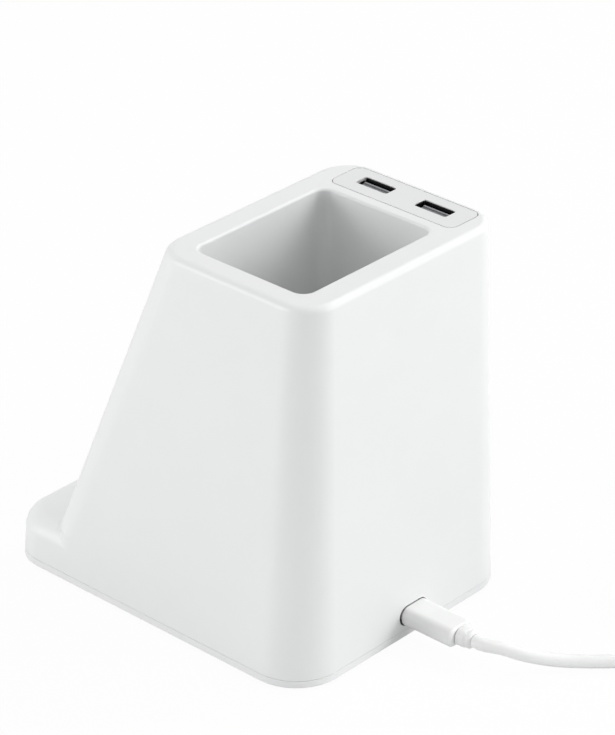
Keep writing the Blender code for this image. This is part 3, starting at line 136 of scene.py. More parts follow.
# Angles in degrees at which an edge counts as sharp, and the shading's and the merging's own angles
SHARP = 40
STRIP_SHARP = 30
PLUG_SHARP = 25
FOOT_SHARP = 60
STRAP_SHARP = 50
RIM_ANGLE = math.radians(60)
SMOOTH_ANGLE = math.radians(35)
FLAT_ANGLE = math.radians(0.4)
# A face looks along an axis when its normal has more than this of it
FACING = 0.9

# Housing, cover and port strip: the eased edges of real mouldings
WELD = 0.002 * MM
HOUSING_EDGE = 0.12 * MM
COVER_EDGE = 0.1 * MM
COVER_RIM_LEVEL = 3.0 * MM
SEAM_CLOSED_BY = 0.2 * MM
STRIP_CHAMFER = 0.2 * MM
STRIP_EDGE = 0.05 * MM
WINDOW_LIP = 0.28 * MM
WINDOW_LIP_RISE = 0.02 * MM
WINDOW_MARGIN = 0.3 * MM
PORT_WINDOW_WIDTH = 5.25 * MM
PORT_WINDOW_LENGTH = 12.4 * MM
PORT_WINDOW_SHIFT = (-0.12 * MM, 0.15 * MM)
SEAT_EDGE = 0.28 * MM

# Inlet: how deep and how far from the plug's middle its edge lies, and the share of it that is left,
# because the photograph's fits the plug more tightly on the far side and below
INLET_DEEP = 60.5 * MM
INLET_REACH = (6.6 * MM, 3.6 * MM)
INLET_SHARE = (0.962, 1, 0.965)
PLUG_EASE = 0.2 * MM
PLUG_SHOULDER_AT = 62.8 * MM
PLUG_SHOULDER_LENGTH = 0.5 * MM
PLUG_NARROWS_BY = 0.9 * MM

# USB-A ports
SHEET = 0.3 * MM
PORT_CORNER = 0.6 * MM
TAB_SPREAD = 3.3 * MM
TAB_WIDTH = 2.2 * MM
TAB_LENGTH = 6.0 * MM
TAB_DROP = 2.6 * MM
TAB_BOW = 0.7 * MM
# Each step of a tab's bow: how far it reaches from the tab's middle, and its share of the bow
TAB_BOW_STEPS = ((0.4, 0.35), (0.2, 0.3), (0.1, 0.15))
TAB_TIP_SHARE = 0.45
TAB_TIP_WIDTH_SHARE = 0.7
PORT_BASE = 3.5 * MM
PORT_BLADE = 1.9 * MM
PORT_BLADE_WIDTH = 11.1 * MM
PORT_BLADE_SHIFT = -0.6 * MM
BLADE_RIB = 0.65 * MM
BLADE_RIB_TALL = 0.5 * MM
BLADE_RIB_INSET = 0.1 * MM
BLADE_RIB_SHARE = 0.96
TONGUE_EDGE = 0.08 * MM
CONTACT_SPOTS = [spot * MM for spot in (-3.5, -1.0, 1.0, 3.5)]
CONTACT_LENGTHS = [length * MM for length in (8.4, 7.4, 7.4, 8.4)]
CONTACT_WIDTH = 1.0 * MM
CONTACT_THICKNESS = 0.2 * MM
CONTACT_DROP = 0.5 * MM
CONTACT_BOW = 0.25 * MM
CONTACT_BOW_REACH = 0.2

# Underside
FOOT_EDGE = 0.35 * MM
FOOT_RING_INSET = 1.4 * MM
FOOT_RING_WIDTH = 0.8 * MM
FOOT_RING_WALL = 0.15 * MM
FOOT_RING_DEPTH = 0.25 * MM
SCREW_HEAD_HEIGHT = 1.8 * MM
SCREW_HEAD_ROUND_SHARE = 0.45
SCREW_RADIUS = 1.3 * MM
SCREW_TIP_SHARE = 0.45
CROSS_ARM = 3.2 * MM
CROSS_WIDTH = 0.75 * MM
CROSS_DEPTH = 1.1 * MM
CROSS_TAPER = 0.45

# How much a surface's roughness drifts, up and down
SKIN_DRIFT = 0.05
METAL_DRIFT = 0.07
# The size of the strap's fuzz in mm
STRAP_FUZZ = 0.3
# The colour mix node's own sockets: its two colours and its result
MIX_A, MIX_B, MIX_RESULT = 6, 7, 2

# Light, placed in metres: each softbox has its place, its size and its power
SIDE_LAMP = ((1.5, -0.9, 0.35), 1.0, 16.4)
BACK_LAMP = ((-0.8, 1.7, 0.35), 1.0, 10.4)
BACK_HIGH_LAMP = ((-0.95, 1.6, 0.9), 1.2, 8.5)
TOP_LAMP = ((0.0, 0.0, 2.0), 1.4, 3.8)
FAR_LAMP = ((-1.4, 0.3, 1.5), 1.0, 13.7)
LAMP_AIM = Vector((0, 0, 0.06))
ROOM_LIGHT = 0.49
FLOOR_SIZE = 8.0
FLOOR_DROP = 0.1 * MM
FLOOR_GLOW = 0.96


def add_camera():
    """The photograph's own viewpoint and lens."""
    data = bpy.data.cameras.new("photo_camera")
    data.sensor_fit = "VERTICAL"
    data.sensor_height = SENSOR
    data.lens = CAMERA_LENS
    data.shift_x, data.shift_y = CAMERA_SHIFT
    camera = bpy.data.objects.new("photo_camera", data)
    bpy.context.scene.collection.objects.link(camera)
    turn = Matrix((CAMERA_RIGHT, CAMERA_UP, CAMERA_BACK)).transposed().to_4x4()
    camera.matrix_world = Matrix.Translation(CAMERA_PLACE) @ turn
    bpy.context.scene.camera = camera


add_camera()


# Shader nodes
def add_node(tree, kind, settings=None, links=None):
    """One shader node: its settings by attribute or socket, and links from other nodes' sockets."""
    node = tree.nodes.new(kind)
    for name, value in (settings or {}).items():
        if isinstance(name, str) and hasattr(node, name):
            setattr(node, name, value)
        else:
            node.inputs[name].default_value = value
    for name, source in (links or {}).items():
        tree.links.new(source, node.inputs[name])
    return node


def linear(colour):
    """An sRGB hex colour as linear RGBA."""
    parts = [int(colour[start:start + 2], 16) / 255 for start in (1, 3, 5)]
    return (*(part / 12.92 if part <= 0.04045 else ((part + 0.055) / 1.055) ** 2.4
              for part in parts), 1.0)


def fresh_tree(owner):
    """The emptied node tree of a material or a world."""
    owner.use_nodes = True
    owner.node_tree.nodes.clear()
    return owner.node_tree


# Finishes
def moulded_skin(name, pale, dark, mottle, roughness, grain, depth, ior):
    """A moulded or fired surface: a slow drift between two close colours, and an even fine grain.

    mottle and grain are the sizes of the drift and the grain in mm, and depth is the grain's height.
    """
    material = bpy.data.materials.new(name)
    tree = fresh_tree(material)
    place = add_node(tree, "ShaderNodeTexCoord").outputs["Object"]
    cloud = add_node(tree, "ShaderNodeTexNoise", {"Scale": 1 / (mottle * MM), "Detail": 3.0},
                     {"Vector": place})
    tint = add_node(tree, "ShaderNodeMix",
                    {"data_type": "RGBA", MIX_A: linear(pale), MIX_B: linear(dark)},
                    {"Factor": cloud.outputs["Fac"]})
    speck = add_node(tree, "ShaderNodeTexNoise", {"Scale": 1 / (grain * MM), "Detail": 2.0},
                     {"Vector": place})
    rough = add_node(tree, "ShaderNodeMapRange",
                     {"To Min": roughness - SKIN_DRIFT, "To Max": roughness + SKIN_DRIFT},
                     {"Value": speck.outputs["Fac"]})
    bump = add_node(tree, "ShaderNodeBump", {"Strength": 0.6, "Distance": depth * MM},
                    {"Height": speck.outputs["Fac"]})
    shader = add_node(tree, "ShaderNodeBsdfPrincipled", {"IOR": ior}, {
        "Base Color": tint.outputs[MIX_RESULT], "Roughness": rough.outputs[0],
        "Normal": bump.outputs[0]})
    add_node(tree, "ShaderNodeOutputMaterial", {}, {"Surface": shader.outputs[0]})
    return material


def drawn_metal(name, pale, dark, roughness, line, depth, stretch=(1.0, 1.0, 0.08)):
    """Rolled, drawn or plated metal: fine lines along the way it was drawn, here up the piece.

    line is the spacing of the lines in mm, and depth is their height.
    """
    material = bpy.data.materials.new(name)
    tree = fresh_tree(material)
    place = add_node(tree, "ShaderNodeTexCoord").outputs["Object"]
    drawn = add_node(tree, "ShaderNodeMapping", {"Scale": stretch}, {"Vector": place})
    lines = add_node(tree, "ShaderNodeTexNoise", {"Scale": 1 / (line * MM), "Detail": 4.0},
                     {"Vector": drawn.outputs[0]})
    tint = add_node(tree, "ShaderNodeMix",
                    {"data_type": "RGBA", MIX_A: linear(pale), MIX_B: linear(dark)},
                    {"Factor": lines.outputs["Fac"]})
    rough = add_node(tree, "ShaderNodeMapRange",
                     {"To Min": roughness - METAL_DRIFT, "To Max": roughness + METAL_DRIFT},
                     {"Value": lines.outputs["Fac"]})
    bump = add_node(tree, "ShaderNodeBump", {"Strength": 0.4, "Distance": depth * MM},
                    {"Height": lines.outputs["Fac"]})
    shader = add_node(tree, "ShaderNodeBsdfPrincipled", {"Metallic": 1.0}, {
        "Base Color": tint.outputs[MIX_RESULT], "Roughness": rough.outputs[0],
        "Normal": bump.outputs[0]})
    add_node(tree, "ShaderNodeOutputMaterial", {}, {"Surface": shader.outputs[0]})
    return material


def glass_laminate(name, mask, thread, pitch):
    """Glass-cloth laminate under green solder mask: the cloth's threads just show through it."""
    material = bpy.data.materials.new(name)
    tree = fresh_tree(material)
    place = add_node(tree, "ShaderNodeTexCoord").outputs["Object"]
    # A wave texture repeats each 2 pi / 20 units of its scaled space
    wave_scale = 2 * math.pi / (20 * pitch * MM)
    warp, weft = (
        add_node(tree, "ShaderNodeTexWave", {"bands_direction": way, "Scale": wave_scale},
                 {"Vector": place}) for way in ("X", "Y"))
    cloth = add_node(tree, "ShaderNodeMath", {"operation": "MULTIPLY"},
                     {0: warp.outputs["Fac"], 1: weft.outputs["Fac"]})
    tint = add_node(tree, "ShaderNodeMix",
                    {"data_type": "RGBA", MIX_A: linear(mask), MIX_B: linear(thread)},
                    {"Factor": cloth.outputs[0]})
    bump = add_node(tree, "ShaderNodeBump", {"Strength": 0.3, "Distance": 0.02 * MM},
                    {"Height": cloth.outputs[0]})
    shader = add_node(tree, "ShaderNodeBsdfPrincipled", {"Roughness": 0.32, "IOR": 1.5}, {
        "Base Color": tint.outputs[MIX_RESULT], "Normal": bump.outputs[0]})
    add_node(tree, "ShaderNodeOutputMaterial", {}, {"Surface": shader.outputs[0]})
    return material


def woven_strap(name, pale, dark, pitch):
    """Woven nylon tape: threads that cross over and under each other, matt and a little fuzzy."""
    material = bpy.data.materials.new(name)
    tree = fresh_tree(material)
    place = add_node(tree, "ShaderNodeTexCoord").outputs["Object"]
    turned = add_node(tree, "ShaderNodeMapping", {"Rotation": (0, 0, -TIE_ANGLE)}, {"Vector": place})
    weave = add_node(tree, "ShaderNodeTexChecker", {"Scale": 1 / (pitch * MM)},
                     {"Vector": turned.outputs[0]})
    fuzz = add_node(tree, "ShaderNodeTexNoise", {"Scale": 1 / (STRAP_FUZZ * MM), "Detail": 3.0},
                    {"Vector": place})
    height = add_node(tree, "ShaderNodeMath", {"operation": "MULTIPLY"},
                      {0: weave.outputs["Fac"], 1: fuzz.outputs["Fac"]})
    tint = add_node(tree, "ShaderNodeMix",
                    {"data_type": "RGBA", MIX_A: linear(pale), MIX_B: linear(dark)},
                    {"Factor": height.outputs[0]})
    bump = add_node(tree, "ShaderNodeBump", {"Strength": 0.8, "Distance": 0.12 * MM},
                    {"Height": height.outputs[0]})
    shader = add_node(tree, "ShaderNodeBsdfPrincipled", {"Roughness": 0.85, "Sheen Weight": 0.3}, {
        "Base Color": tint.outputs[MIX_RESULT], "Normal": bump.outputs[0]})
    add_node(tree, "ShaderNodeOutputMaterial", {}, {"Surface": shader.outputs[0]})
    return material


# White ABS from a spark-eroded mould: an even satin sheen with no gloss spots
housing_abs = moulded_skin("moulded_abs_white", "#EAEBEB", "#E7E8E8", 18, 0.45, 0.45, 0.012, 1.53)
# The same ABS from a plainer mould: a touch greyer and more matt
cover_abs = moulded_skin("moulded_abs_cover_white", "#EAEAEB", "#E6E7E7", 14, 0.52, 0.6, 0.02, 1.53)
# The port strip's own moulding of that ABS: a shade greyer than the housing round it
strip_abs = moulded_skin("moulded_abs_strip_white", "#E3E4E4", "#E0E1E1", 18, 0.45, 0.45, 0.012, 1.53)
# Thermoplastic elastomer, extruded and overmoulded: softer and a little brighter than the ABS
lead_tpe = moulded_skin("moulded_tpe_white", "#F0F1F0", "#EDEEED", 9, 0.5, 0.5, 0.01, 1.5)
# The two USB-A tongues' grey polymer, painted darker than the other tongues as painted shade from the
# deep sockets they stand in
port_tongue_shade_painted = moulded_skin("moulded_lcp_grey_shade_painted", "#9C9DA0", "#8F9093", 3, 0.4, 0.3, 0.006, 1.6)
# Silicone rubber, moulded dark grey: matt, with a fine powdery bloom
foot_rubber = moulded_skin("moulded_silicone_rubber", "#4A4B4D", "#3D3E40", 3, 0.72, 0.35, 0.03, 1.41)
# Natural nylon, glass-filled: milky and satin, a little cloudy
nylon = moulded_skin("moulded_nylon_natural", "#DEDDD8", "#D3D2CC", 4, 0.48, 0.3, 0.01, 1.53)
# Grey liquid-crystal polymer of the socket tongues: even and satin
tongue_grey = moulded_skin("moulded_lcp_grey", "#C4C5C6", "#B6B7B9", 3, 0.42, 0.3, 0.006, 1.6)
# Black epoxy moulding compound: dull, with a fine sandy grain
chip_epoxy = moulded_skin("moulded_epoxy_black", "#242527", "#1B1C1E", 1.2, 0.55, 0.2, 0.012, 1.55)
# Pressed and fired ferrite: a dull grey-black ceramic with pale specks
ferrite_ceramic = moulded_skin("fired_ferrite_grey", "#3A3938", "#282726", 0.8, 0.62, 0.25, 0.02, 1.9)
# Extruded PVC wire sheaths: smooth, with a soft shine
harness_pvc = moulded_skin("extruded_pvc_black", "#2A2A2C", "#222224", 5, 0.42, 0.4, 0.006, 1.54)
coil_lead_pvc = moulded_skin("extruded_pvc_red", "#A31F1F", "#8E1919", 5, 0.42, 0.4, 0.006, 1.54)
# Nickel-plated steel strip, folded: a bright cool metal with faint rolling lines
nickel_steel = drawn_metal("nickel_plated_steel", "#C9C9CA", "#B9B9BB", 0.24, 0.25, 0.002)
# Nickel-plated steel on the two USB-A sockets, painted near-black as painted shade: their mouths read
# almost black from the shade inside, not from the metal
shade_painted_nickel = drawn_metal("shade_painted_nickel_plated_steel", "#303032", "#28282A", 0.3, 0.25, 0.002)
# Zinc-plated screw steel: duller than the nickel
screw_steel = drawn_metal("zinc_plated_steel", "#B9BABD", "#A4A5A9", 0.34, 0.3, 0.003, (1.0, 1.0, 1.0))
# Gold flash on the contacts: a warm bright line
contact_gold = drawn_metal("gold_plated_contact", "#E0B864", "#CFA24C", 0.25, 0.2, 0.001)
# Drawn aluminium cans: pale grey metal with lines up the can
can_aluminium = drawn_metal("drawn_aluminium", "#D3D4D6", "#C2C3C6", 0.3, 0.2, 0.003)
# Enamelled copper wire: warm metal under clear lacquer, with lines across the turns
coil_copper = drawn_metal("enamelled_copper", "#C8774A", "#A95C34", 0.3, 0.4, 0.004, (0.2, 1.0, 1.0))
board_laminate = glass_laminate("solder_masked_glass_laminate", "#14532F", "#1D6A3D", 0.8)
# The tape's threads are drawn at 0.7 mm, coarser than real ones, so that they show
strap_nylon = woven_strap("woven_nylon_tape", "#D9D9D8", "#BDBEBE", 0.7)


def give(material, *nodes):
    """Put a finish on the inner solids that stay as they are."""
    for node in nodes:
        for slot in frame["nodes"][node].material_slots:
            slot.material = material


give(nylon, "coil_carrier", "port_header", "coil_header", "port_board_header")
give(tongue_grey, "usb_c_tongue")
give(nickel_steel, "usb_c_shell")
give(screw_steel, *(node for node in frame["nodes"]
                    if node.startswith(("carrier_screw", "board_screw"))))
give(chip_epoxy, "charge_controller", "port_controller", "coil_sensor")
give(ferrite_ceramic, "ferrite_plate", "power_choke", "resonance_choke")
give(can_aluminium, "input_capacitor", "output_capacitor")
give(coil_copper, "charging_coil")
give(board_laminate, "main_board", "port_board")
give(harness_pvc, "port_harness")
give(coil_lead_pvc, "coil_lead")


# Modelling by hand
def hold(piece):
    """Make one piece the only selected and the active one."""
    bpy.ops.object.select_all(action="DESELECT")
    piece.select_set(True)
    bpy.context.view_layer.objects.active = piece


def add_cube(centre, size):
    """A box at its centre, with its size baked in."""
    bpy.ops.object.select_all(action="DESELECT")
    bpy.ops.mesh.primitive_cube_add(size=1.0, location=centre, scale=size)
    bpy.ops.object.transform_apply(location=False, rotation=False, scale=True)
    return bpy.context.object


def add_cylinder(centre, radius, height, sides):
    """An upright cylinder at its centre."""
    bpy.ops.object.select_all(action="DESELECT")
    bpy.ops.mesh.primitive_cylinder_add(vertices=sides, radius=radius, depth=height, location=centre)
    return bpy.context.object


def pick_faces(piece, test):
    """In edit mode, select the faces whose local middle and normal pass the test."""
    bpy.ops.mesh.select_mode(type="FACE")
    bpy.ops.mesh.select_all(action="DESELECT")
    shape = bmesh.from_edit_mesh(piece.data)
    for face in shape.faces:
        if test(face.calc_center_median(), face.normal):
            face.select_set(True)
    bmesh.update_edit_mesh(piece.data)


def pick_edges(piece, test):
    """In edit mode, select the edges whose two local ends pass the test."""
    bpy.ops.mesh.select_mode(type="EDGE")
    bpy.ops.mesh.select_all(action="DESELECT")
    shape = bmesh.from_edit_mesh(piece.data)
    for edge in shape.edges:
        edge.select_set(test(edge.verts[0].co, edge.verts[1].co))
    bmesh.update_edit_mesh(piece.data)


def pick_points(piece, test):
    """In edit mode, select the points whose local place passes the test."""
    bpy.ops.mesh.select_mode(type="VERT")
    bpy.ops.mesh.select_all(action="DESELECT")
    shape = bmesh.from_edit_mesh(piece.data)
    for vert in shape.verts:
        vert.select_set(test(vert.co))
    shape.select_flush(True)
    bmesh.update_edit_mesh(piece.data)


def cut_through(point, normal):
    """In edit mode, cut the whole piece along a plane, without taking anything away."""
    bpy.ops.mesh.select_all(action="SELECT")
    bpy.ops.mesh.bisect(plane_co=point, plane_no=normal)


def use_modifier(piece, kind, **settings):
    """Add a modifier and apply it at once."""
    hold(piece)
    bpy.ops.object.modifier_add(type=kind)
    modifier = piece.modifiers[-1]
    for name, value in settings.items():
        setattr(modifier, name, value)
    bpy.ops.object.modifier_apply(modifier=modifier.name)


def shade(piece):
    """Smooth shading that breaks at the piece's sharper edges."""
    hold(piece)
    bpy.ops.object.shade_smooth_by_angle(angle=SMOOTH_ANGLE)


def ease_edges(piece, width, angle=SHARP):
    """A small round on every edge sharper than the angle, and shading that keeps flat faces flat."""
    use_modifier(piece, "BEVEL", width=width, segments=2, limit_method="ANGLE",
                 angle_limit=math.radians(angle), miter_outer="MITER_ARC", use_clamp_overlap=True)
    shade(piece)
    use_modifier(piece, "WEIGHTED_NORMAL", keep_sharp=True)


def join(pieces):
    """Several pieces made one: the first of them, which now holds the others."""
    hold(pieces[0])
    for piece in pieces[1:]:
        piece.select_set(True)
    bpy.ops.object.join()
    return pieces[0]


def set_place(piece, name, body, slot, material, *nodes):
    """Bake a finished piece's place into its mesh, name it and put it on its body."""
    hold(piece)
    bpy.ops.object.transform_apply(location=True, rotation=True, scale=True)
    piece.name = name
    piece.data.name = name
    piece.data.materials.clear()
    piece.data.materials.append(material)
    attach(piece, body)
    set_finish(piece, slot)
    if nodes:
        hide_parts(*nodes)
    bpy.ops.object.select_all(action="DESELECT")
    return piece


def copy_to(piece, name, shift, *nodes):
    """A finished piece once more, with its own mesh, shifted."""
    twin = bpy.data.objects.new(name, piece.data.copy())
    bpy.context.scene.collection.objects.link(twin)
    twin.location = shift
    return set_place(twin, name, piece["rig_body"], piece["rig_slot"], piece.data.materials[0], *nodes)


def take_form(node):
    """A node's form as a new mesh: its loose triangles merged and its flat faces made whole."""
    piece = bpy.data.objects.new(node + "_form", frame["nodes"][node].data.copy())
    bpy.context.scene.collection.objects.link(piece)
    hold(piece)
    bpy.ops.object.mode_set(mode="EDIT")
    bpy.ops.mesh.select_all(action="SELECT")
    bpy.ops.mesh.remove_doubles(threshold=WELD)
    bpy.ops.mesh.dissolve_limited(angle_limit=FLAT_ANGLE)
    bpy.ops.object.mode_set(mode="OBJECT")
    return piece


def corners_of(node):
    """The low and the high corner of a node's box."""
    return tuple(Vector(corner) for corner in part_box(node))


def middle_of(node):
    """A node's middle and its size."""
    low, high = corners_of(node)
    return (low + high) / 2, high - low


# Housing, base cover and port strip
def add_housing():
    """The housing, with a rounder edge along the port strip's seat and a tighter inlet."""
    housing = take_form("housing")
    low, high = corners_of("port_strip")
    reach = 2 * SEAT_EDGE
    bpy.ops.object.mode_set(mode="EDIT")
    # The seat's edge, but not its far side, which stays crisp
    pick_edges(housing, lambda a, b: all(
        abs(spot.z - high.z) < WELD and low.x + reach < spot.x < high.x + reach
        and low.y - reach < spot.y < high.y + reach for spot in (a, b)))
    bpy.ops.mesh.bevel(offset=SEAT_EDGE, segments=3, affect="EDGES", clamp_overlap=True)
    inlet, _ = middle_of("lead_plug")
    across, up = INLET_REACH
    pick_points(housing, lambda spot: spot.y > INLET_DEEP and abs(spot.x - inlet.x) < across
                and abs(spot.z - inlet.z) < up)
    bpy.ops.transform.resize(value=INLET_SHARE, center_override=inlet + Vector((across, 0, up)))
    bpy.ops.object.mode_set(mode="OBJECT")
    ease_edges(housing, HOUSING_EDGE)
    set_place(housing, "holder_housing", "stand", "housing_abs", housing_abs, "housing")


def add_base_cover():
    """The cover, with its rim raised so that the seam under the housing closes to a hairline."""
    cover = take_form("base_cover")
    bpy.ops.object.mode_set(mode="EDIT")
    pick_points(cover, lambda spot: abs(spot.z - COVER_RIM_LEVEL) < WELD)
    bpy.ops.transform.translate(value=(0, 0, SEAM_CLOSED_BY))
    bpy.ops.object.mode_set(mode="OBJECT")
    ease_edges(cover, COVER_EDGE)
    set_place(cover, "holder_base_cover", "stand", "cover_abs", cover_abs, "base_cover")


def add_port_strip():
    """The plate: a crisp top edge, so that the line round it shows, and a thin lip over each port."""
    strip = take_form("port_strip")
    low, high = corners_of("port_strip")
    width, length, _ = high - low
    inside = 3 * STRIP_CHAMFER
    bpy.ops.object.mode_set(mode="EDIT")
    # The chamfer's upper edge goes out to the plate's outline
    pick_points(strip, lambda spot: high.z - spot.z < WELD and not (
        low.x + inside < spot.x < high.x - inside and low.y + inside < spot.y < high.y - inside))
    bpy.ops.transform.resize(center_override=(low + high) / 2, value=(
        width / (width - 2 * STRIP_CHAMFER), length / (length - 2 * STRIP_CHAMFER), 1))
    for drop in (WINDOW_LIP, WINDOW_LIP + WINDOW_LIP_RISE):
        cut_through((0, 0, high.z - drop), (0, 0, 1))
    # Above the cuts, each window closes in to the lip
    for node, inward in (("usb_a_shell_front", 1), ("usb_a_shell_rear", -1)):
        middle, size = middle_of(node)
        half = size / 2 + Vector((WINDOW_MARGIN, WINDOW_MARGIN, 0))
        pick_points(strip, lambda spot: high.z - spot.z < WINDOW_LIP + WELD
                    and abs(spot.x - middle.x) < half.x + WELD
                    and abs(spot.y - middle.y) < half.y + WELD)
        bpy.ops.transform.resize(center_override=middle, value=(
            PORT_WINDOW_WIDTH / 2 / half.x, PORT_WINDOW_LENGTH / 2 / half.y, 1))
        bpy.ops.transform.translate(value=(PORT_WINDOW_SHIFT[0], inward * PORT_WINDOW_SHIFT[1], 0))
    bpy.ops.object.mode_set(mode="OBJECT")
    ease_edges(strip, STRIP_EDGE, STRIP_SHARP)
    set_place(strip, "port_strip_plate", "stand", "housing_abs", strip_abs, "port_strip")


add_housing()
add_base_cover()
add_port_strip()


# USB-A ports
def add_spring_tab(shell_middle, shell_size, side, along):
    """A leaf of the shell's wall that bows into the mouth, narrower at its free end."""
    wall_x = shell_middle.x + side * (shell_size.x / 2 - 1.5 * SHEET)
    top = shell_middle.z + shell_size.z / 2 - TAB_DROP
    tab = add_cube((wall_x, shell_middle.y + along * TAB_SPREAD, top - TAB_LENGTH / 2),
                   (SHEET, TAB_WIDTH, TAB_LENGTH))
    bpy.ops.object.mode_set(mode="EDIT")
    pick_edges(tab, lambda a, b: abs(a.z - b.z) > TAB_LENGTH / 2)
    bpy.ops.mesh.subdivide(number_cuts=5)
    for reach, bow in TAB_BOW_STEPS:
        pick_points(tab, lambda spot: abs(spot.z) < TAB_LENGTH * reach)
        bpy.ops.transform.translate(value=(-side * TAB_BOW * bow, 0, 0))
    pick_points(tab, lambda spot: spot.z < -TAB_LENGTH * TAB_TIP_SHARE)
    bpy.ops.transform.resize(value=(1, TAB_TIP_WIDTH_SHARE, 1))
    bpy.ops.object.mode_set(mode="OBJECT")
    return tab


def add_port_shell():
    """A folded shell of sheet steel: open ends, round corners, an eased mouth and four spring tabs."""
    middle, size = middle_of("usb_a_shell_front")
    shell = add_cube(middle, size)
    bpy.ops.object.mode_set(mode="EDIT")
    pick_edges(shell, lambda a, b: abs(a.z - b.z) > size.z / 2)
    bpy.ops.mesh.bevel(offset=PORT_CORNER, segments=3, affect="EDGES")
    pick_faces(shell, lambda spot, normal: abs(normal.z) > FACING)
    bpy.ops.mesh.delete(type="FACE")
    bpy.ops.object.mode_set(mode="OBJECT")
    use_modifier(shell, "SOLIDIFY", thickness=SHEET, offset=-1.0)
    use_modifier(shell, "BEVEL", width=SHEET / 4, segments=2, limit_method="ANGLE",
                 angle_limit=RIM_ANGLE)
    tabs = [add_spring_tab(middle, size, side, along) for side in (-1, 1) for along in (-1, 1)]
    shade(join([shell, *tabs]))
    # The shell's steel is painted near-black, as painted shade for the socket's dark mouth
    return set_place(shell, "port_shell_front", "stand", "steel", shade_painted_nickel, "usb_a_shell_front")


def add_port_tongue():
    """The socket's base and blade: a box, its middle drawn up between cuts, with a rib along its tip."""
    middle, size = middle_of("usb_a_tongue_front")
    tongue = add_cube(middle, size)
    blade_low = middle.x + PORT_BLADE_SHIFT - PORT_BLADE / 2
    blade_high = blade_low + PORT_BLADE
    base_top = middle.z - size.z / 2 + PORT_BASE
    bpy.ops.object.mode_set(mode="EDIT")
    pick_faces(tongue, lambda spot, normal: normal.z > FACING)
    bpy.ops.transform.translate(value=(0, 0, base_top - middle.z - size.z / 2))
    for cut in (blade_low, blade_high):
        cut_through((cut, middle.y, middle.z), (1, 0, 0))
    for side in (-1, 1):
        cut_through((middle.x, middle.y + side * PORT_BLADE_WIDTH / 2, middle.z), (0, 1, 0))
    pick_faces(tongue, lambda spot, normal: normal.z > FACING and abs(spot.y) < PORT_BLADE_WIDTH / 2
               and blade_low < spot.x + middle.x < blade_high)
    bpy.ops.mesh.extrude_region_move(TRANSFORM_OT_translate={
        "value": (0, 0, middle.z + size.z / 2 - base_top - BLADE_RIB_TALL)})
    share = BLADE_RIB / PORT_BLADE
    bpy.ops.mesh.extrude_region_move()
    bpy.ops.transform.resize(value=(share, BLADE_RIB_SHARE, 1), center_override=(
        blade_low + BLADE_RIB_INSET / (1 - share), middle.y, middle.z))
    bpy.ops.mesh.extrude_region_move(TRANSFORM_OT_translate={"value": (0, 0, BLADE_RIB_TALL)})
    bpy.ops.object.mode_set(mode="OBJECT")
    ease_edges(tongue, TONGUE_EDGE)
    # The tongue's grey is painted darker, as painted shade inside the socket
    return set_place(tongue, "port_tongue_front", "stand", "nylon", port_tongue_shade_painted,
                     "usb_a_tongue_front")


def add_port_contacts():
    """Four contact leaves on the blade's open side, below its rib, each bowed outwards."""
    middle, size = middle_of("usb_a_tongue_front")
    blade_high = middle.x + PORT_BLADE_SHIFT + PORT_BLADE / 2
    top = middle.z + size.z / 2 - BLADE_RIB_TALL - CONTACT_DROP
    leaves = []
    for across, length in zip(CONTACT_SPOTS, CONTACT_LENGTHS):
        leaf = add_cube((blade_high + CONTACT_THICKNESS / 2, middle.y + across, top - length / 2),
                        (CONTACT_THICKNESS, CONTACT_WIDTH, length))
        bpy.ops.object.mode_set(mode="EDIT")
        pick_edges(leaf, lambda a, b: abs(a.z - b.z) > length / 2)
        bpy.ops.mesh.subdivide(number_cuts=4)
        pick_points(leaf, lambda spot: abs(spot.z) < length * CONTACT_BOW_REACH)
        bpy.ops.transform.translate(value=(CONTACT_BOW, 0, 0))
        bpy.ops.object.mode_set(mode="OBJECT")
        leaves.append(leaf)
    contacts = join(leaves)
    ease_edges(contacts, CONTACT_THICKNESS / 5)
    return set_place(contacts, "port_contacts_front", "stand", "steel", contact_gold)


def add_ports():
    """The front port's pieces, and the same ones again at the rear."""
    to_rear = middle_of("usb_a_shell_rear")[0] - middle_of("usb_a_shell_front")[0]
    copy_to(add_port_shell(), "port_shell_rear", to_rear, "usb_a_shell_rear")
    copy_to(add_port_tongue(), "port_tongue_rear", to_rear, "usb_a_tongue_rear")
    copy_to(add_port_contacts(), "port_contacts_rear", to_rear)


add_ports()


# Underside
def add_feet():
    """A round rubber pad with an eased rim and a shallow ring pressed into its sole, four times."""
    middle, size = middle_of("foot_front_left")
    foot = add_cylinder(middle, size.x / 2, size.z, 48)
    bpy.ops.object.mode_set(mode="EDIT")
    for width, rise in ((FOOT_RING_INSET, 0.0), (FOOT_RING_WALL, FOOT_RING_DEPTH),
                        (FOOT_RING_WIDTH, 0.0), (FOOT_RING_WALL, -FOOT_RING_DEPTH)):
        pick_faces(foot, lambda spot, normal: normal.z < -FACING and spot.xy.length < size.x / 8)
        bpy.ops.mesh.inset(thickness=width)
        bpy.ops.transform.translate(value=(0, 0, rise))
    bpy.ops.object.mode_set(mode="OBJECT")
    ease_edges(foot, FOOT_EDGE, FOOT_SHARP)
    set_place(foot, "sole_pad_front_left", "stand", "foot_rubber", foot_rubber, "foot_front_left")
    for corner in ("front_right", "back_left", "back_right"):
        shift = middle_of("foot_" + corner)[0] - middle
        copy_to(foot, "sole_pad_" + corner, shift, "foot_" + corner)


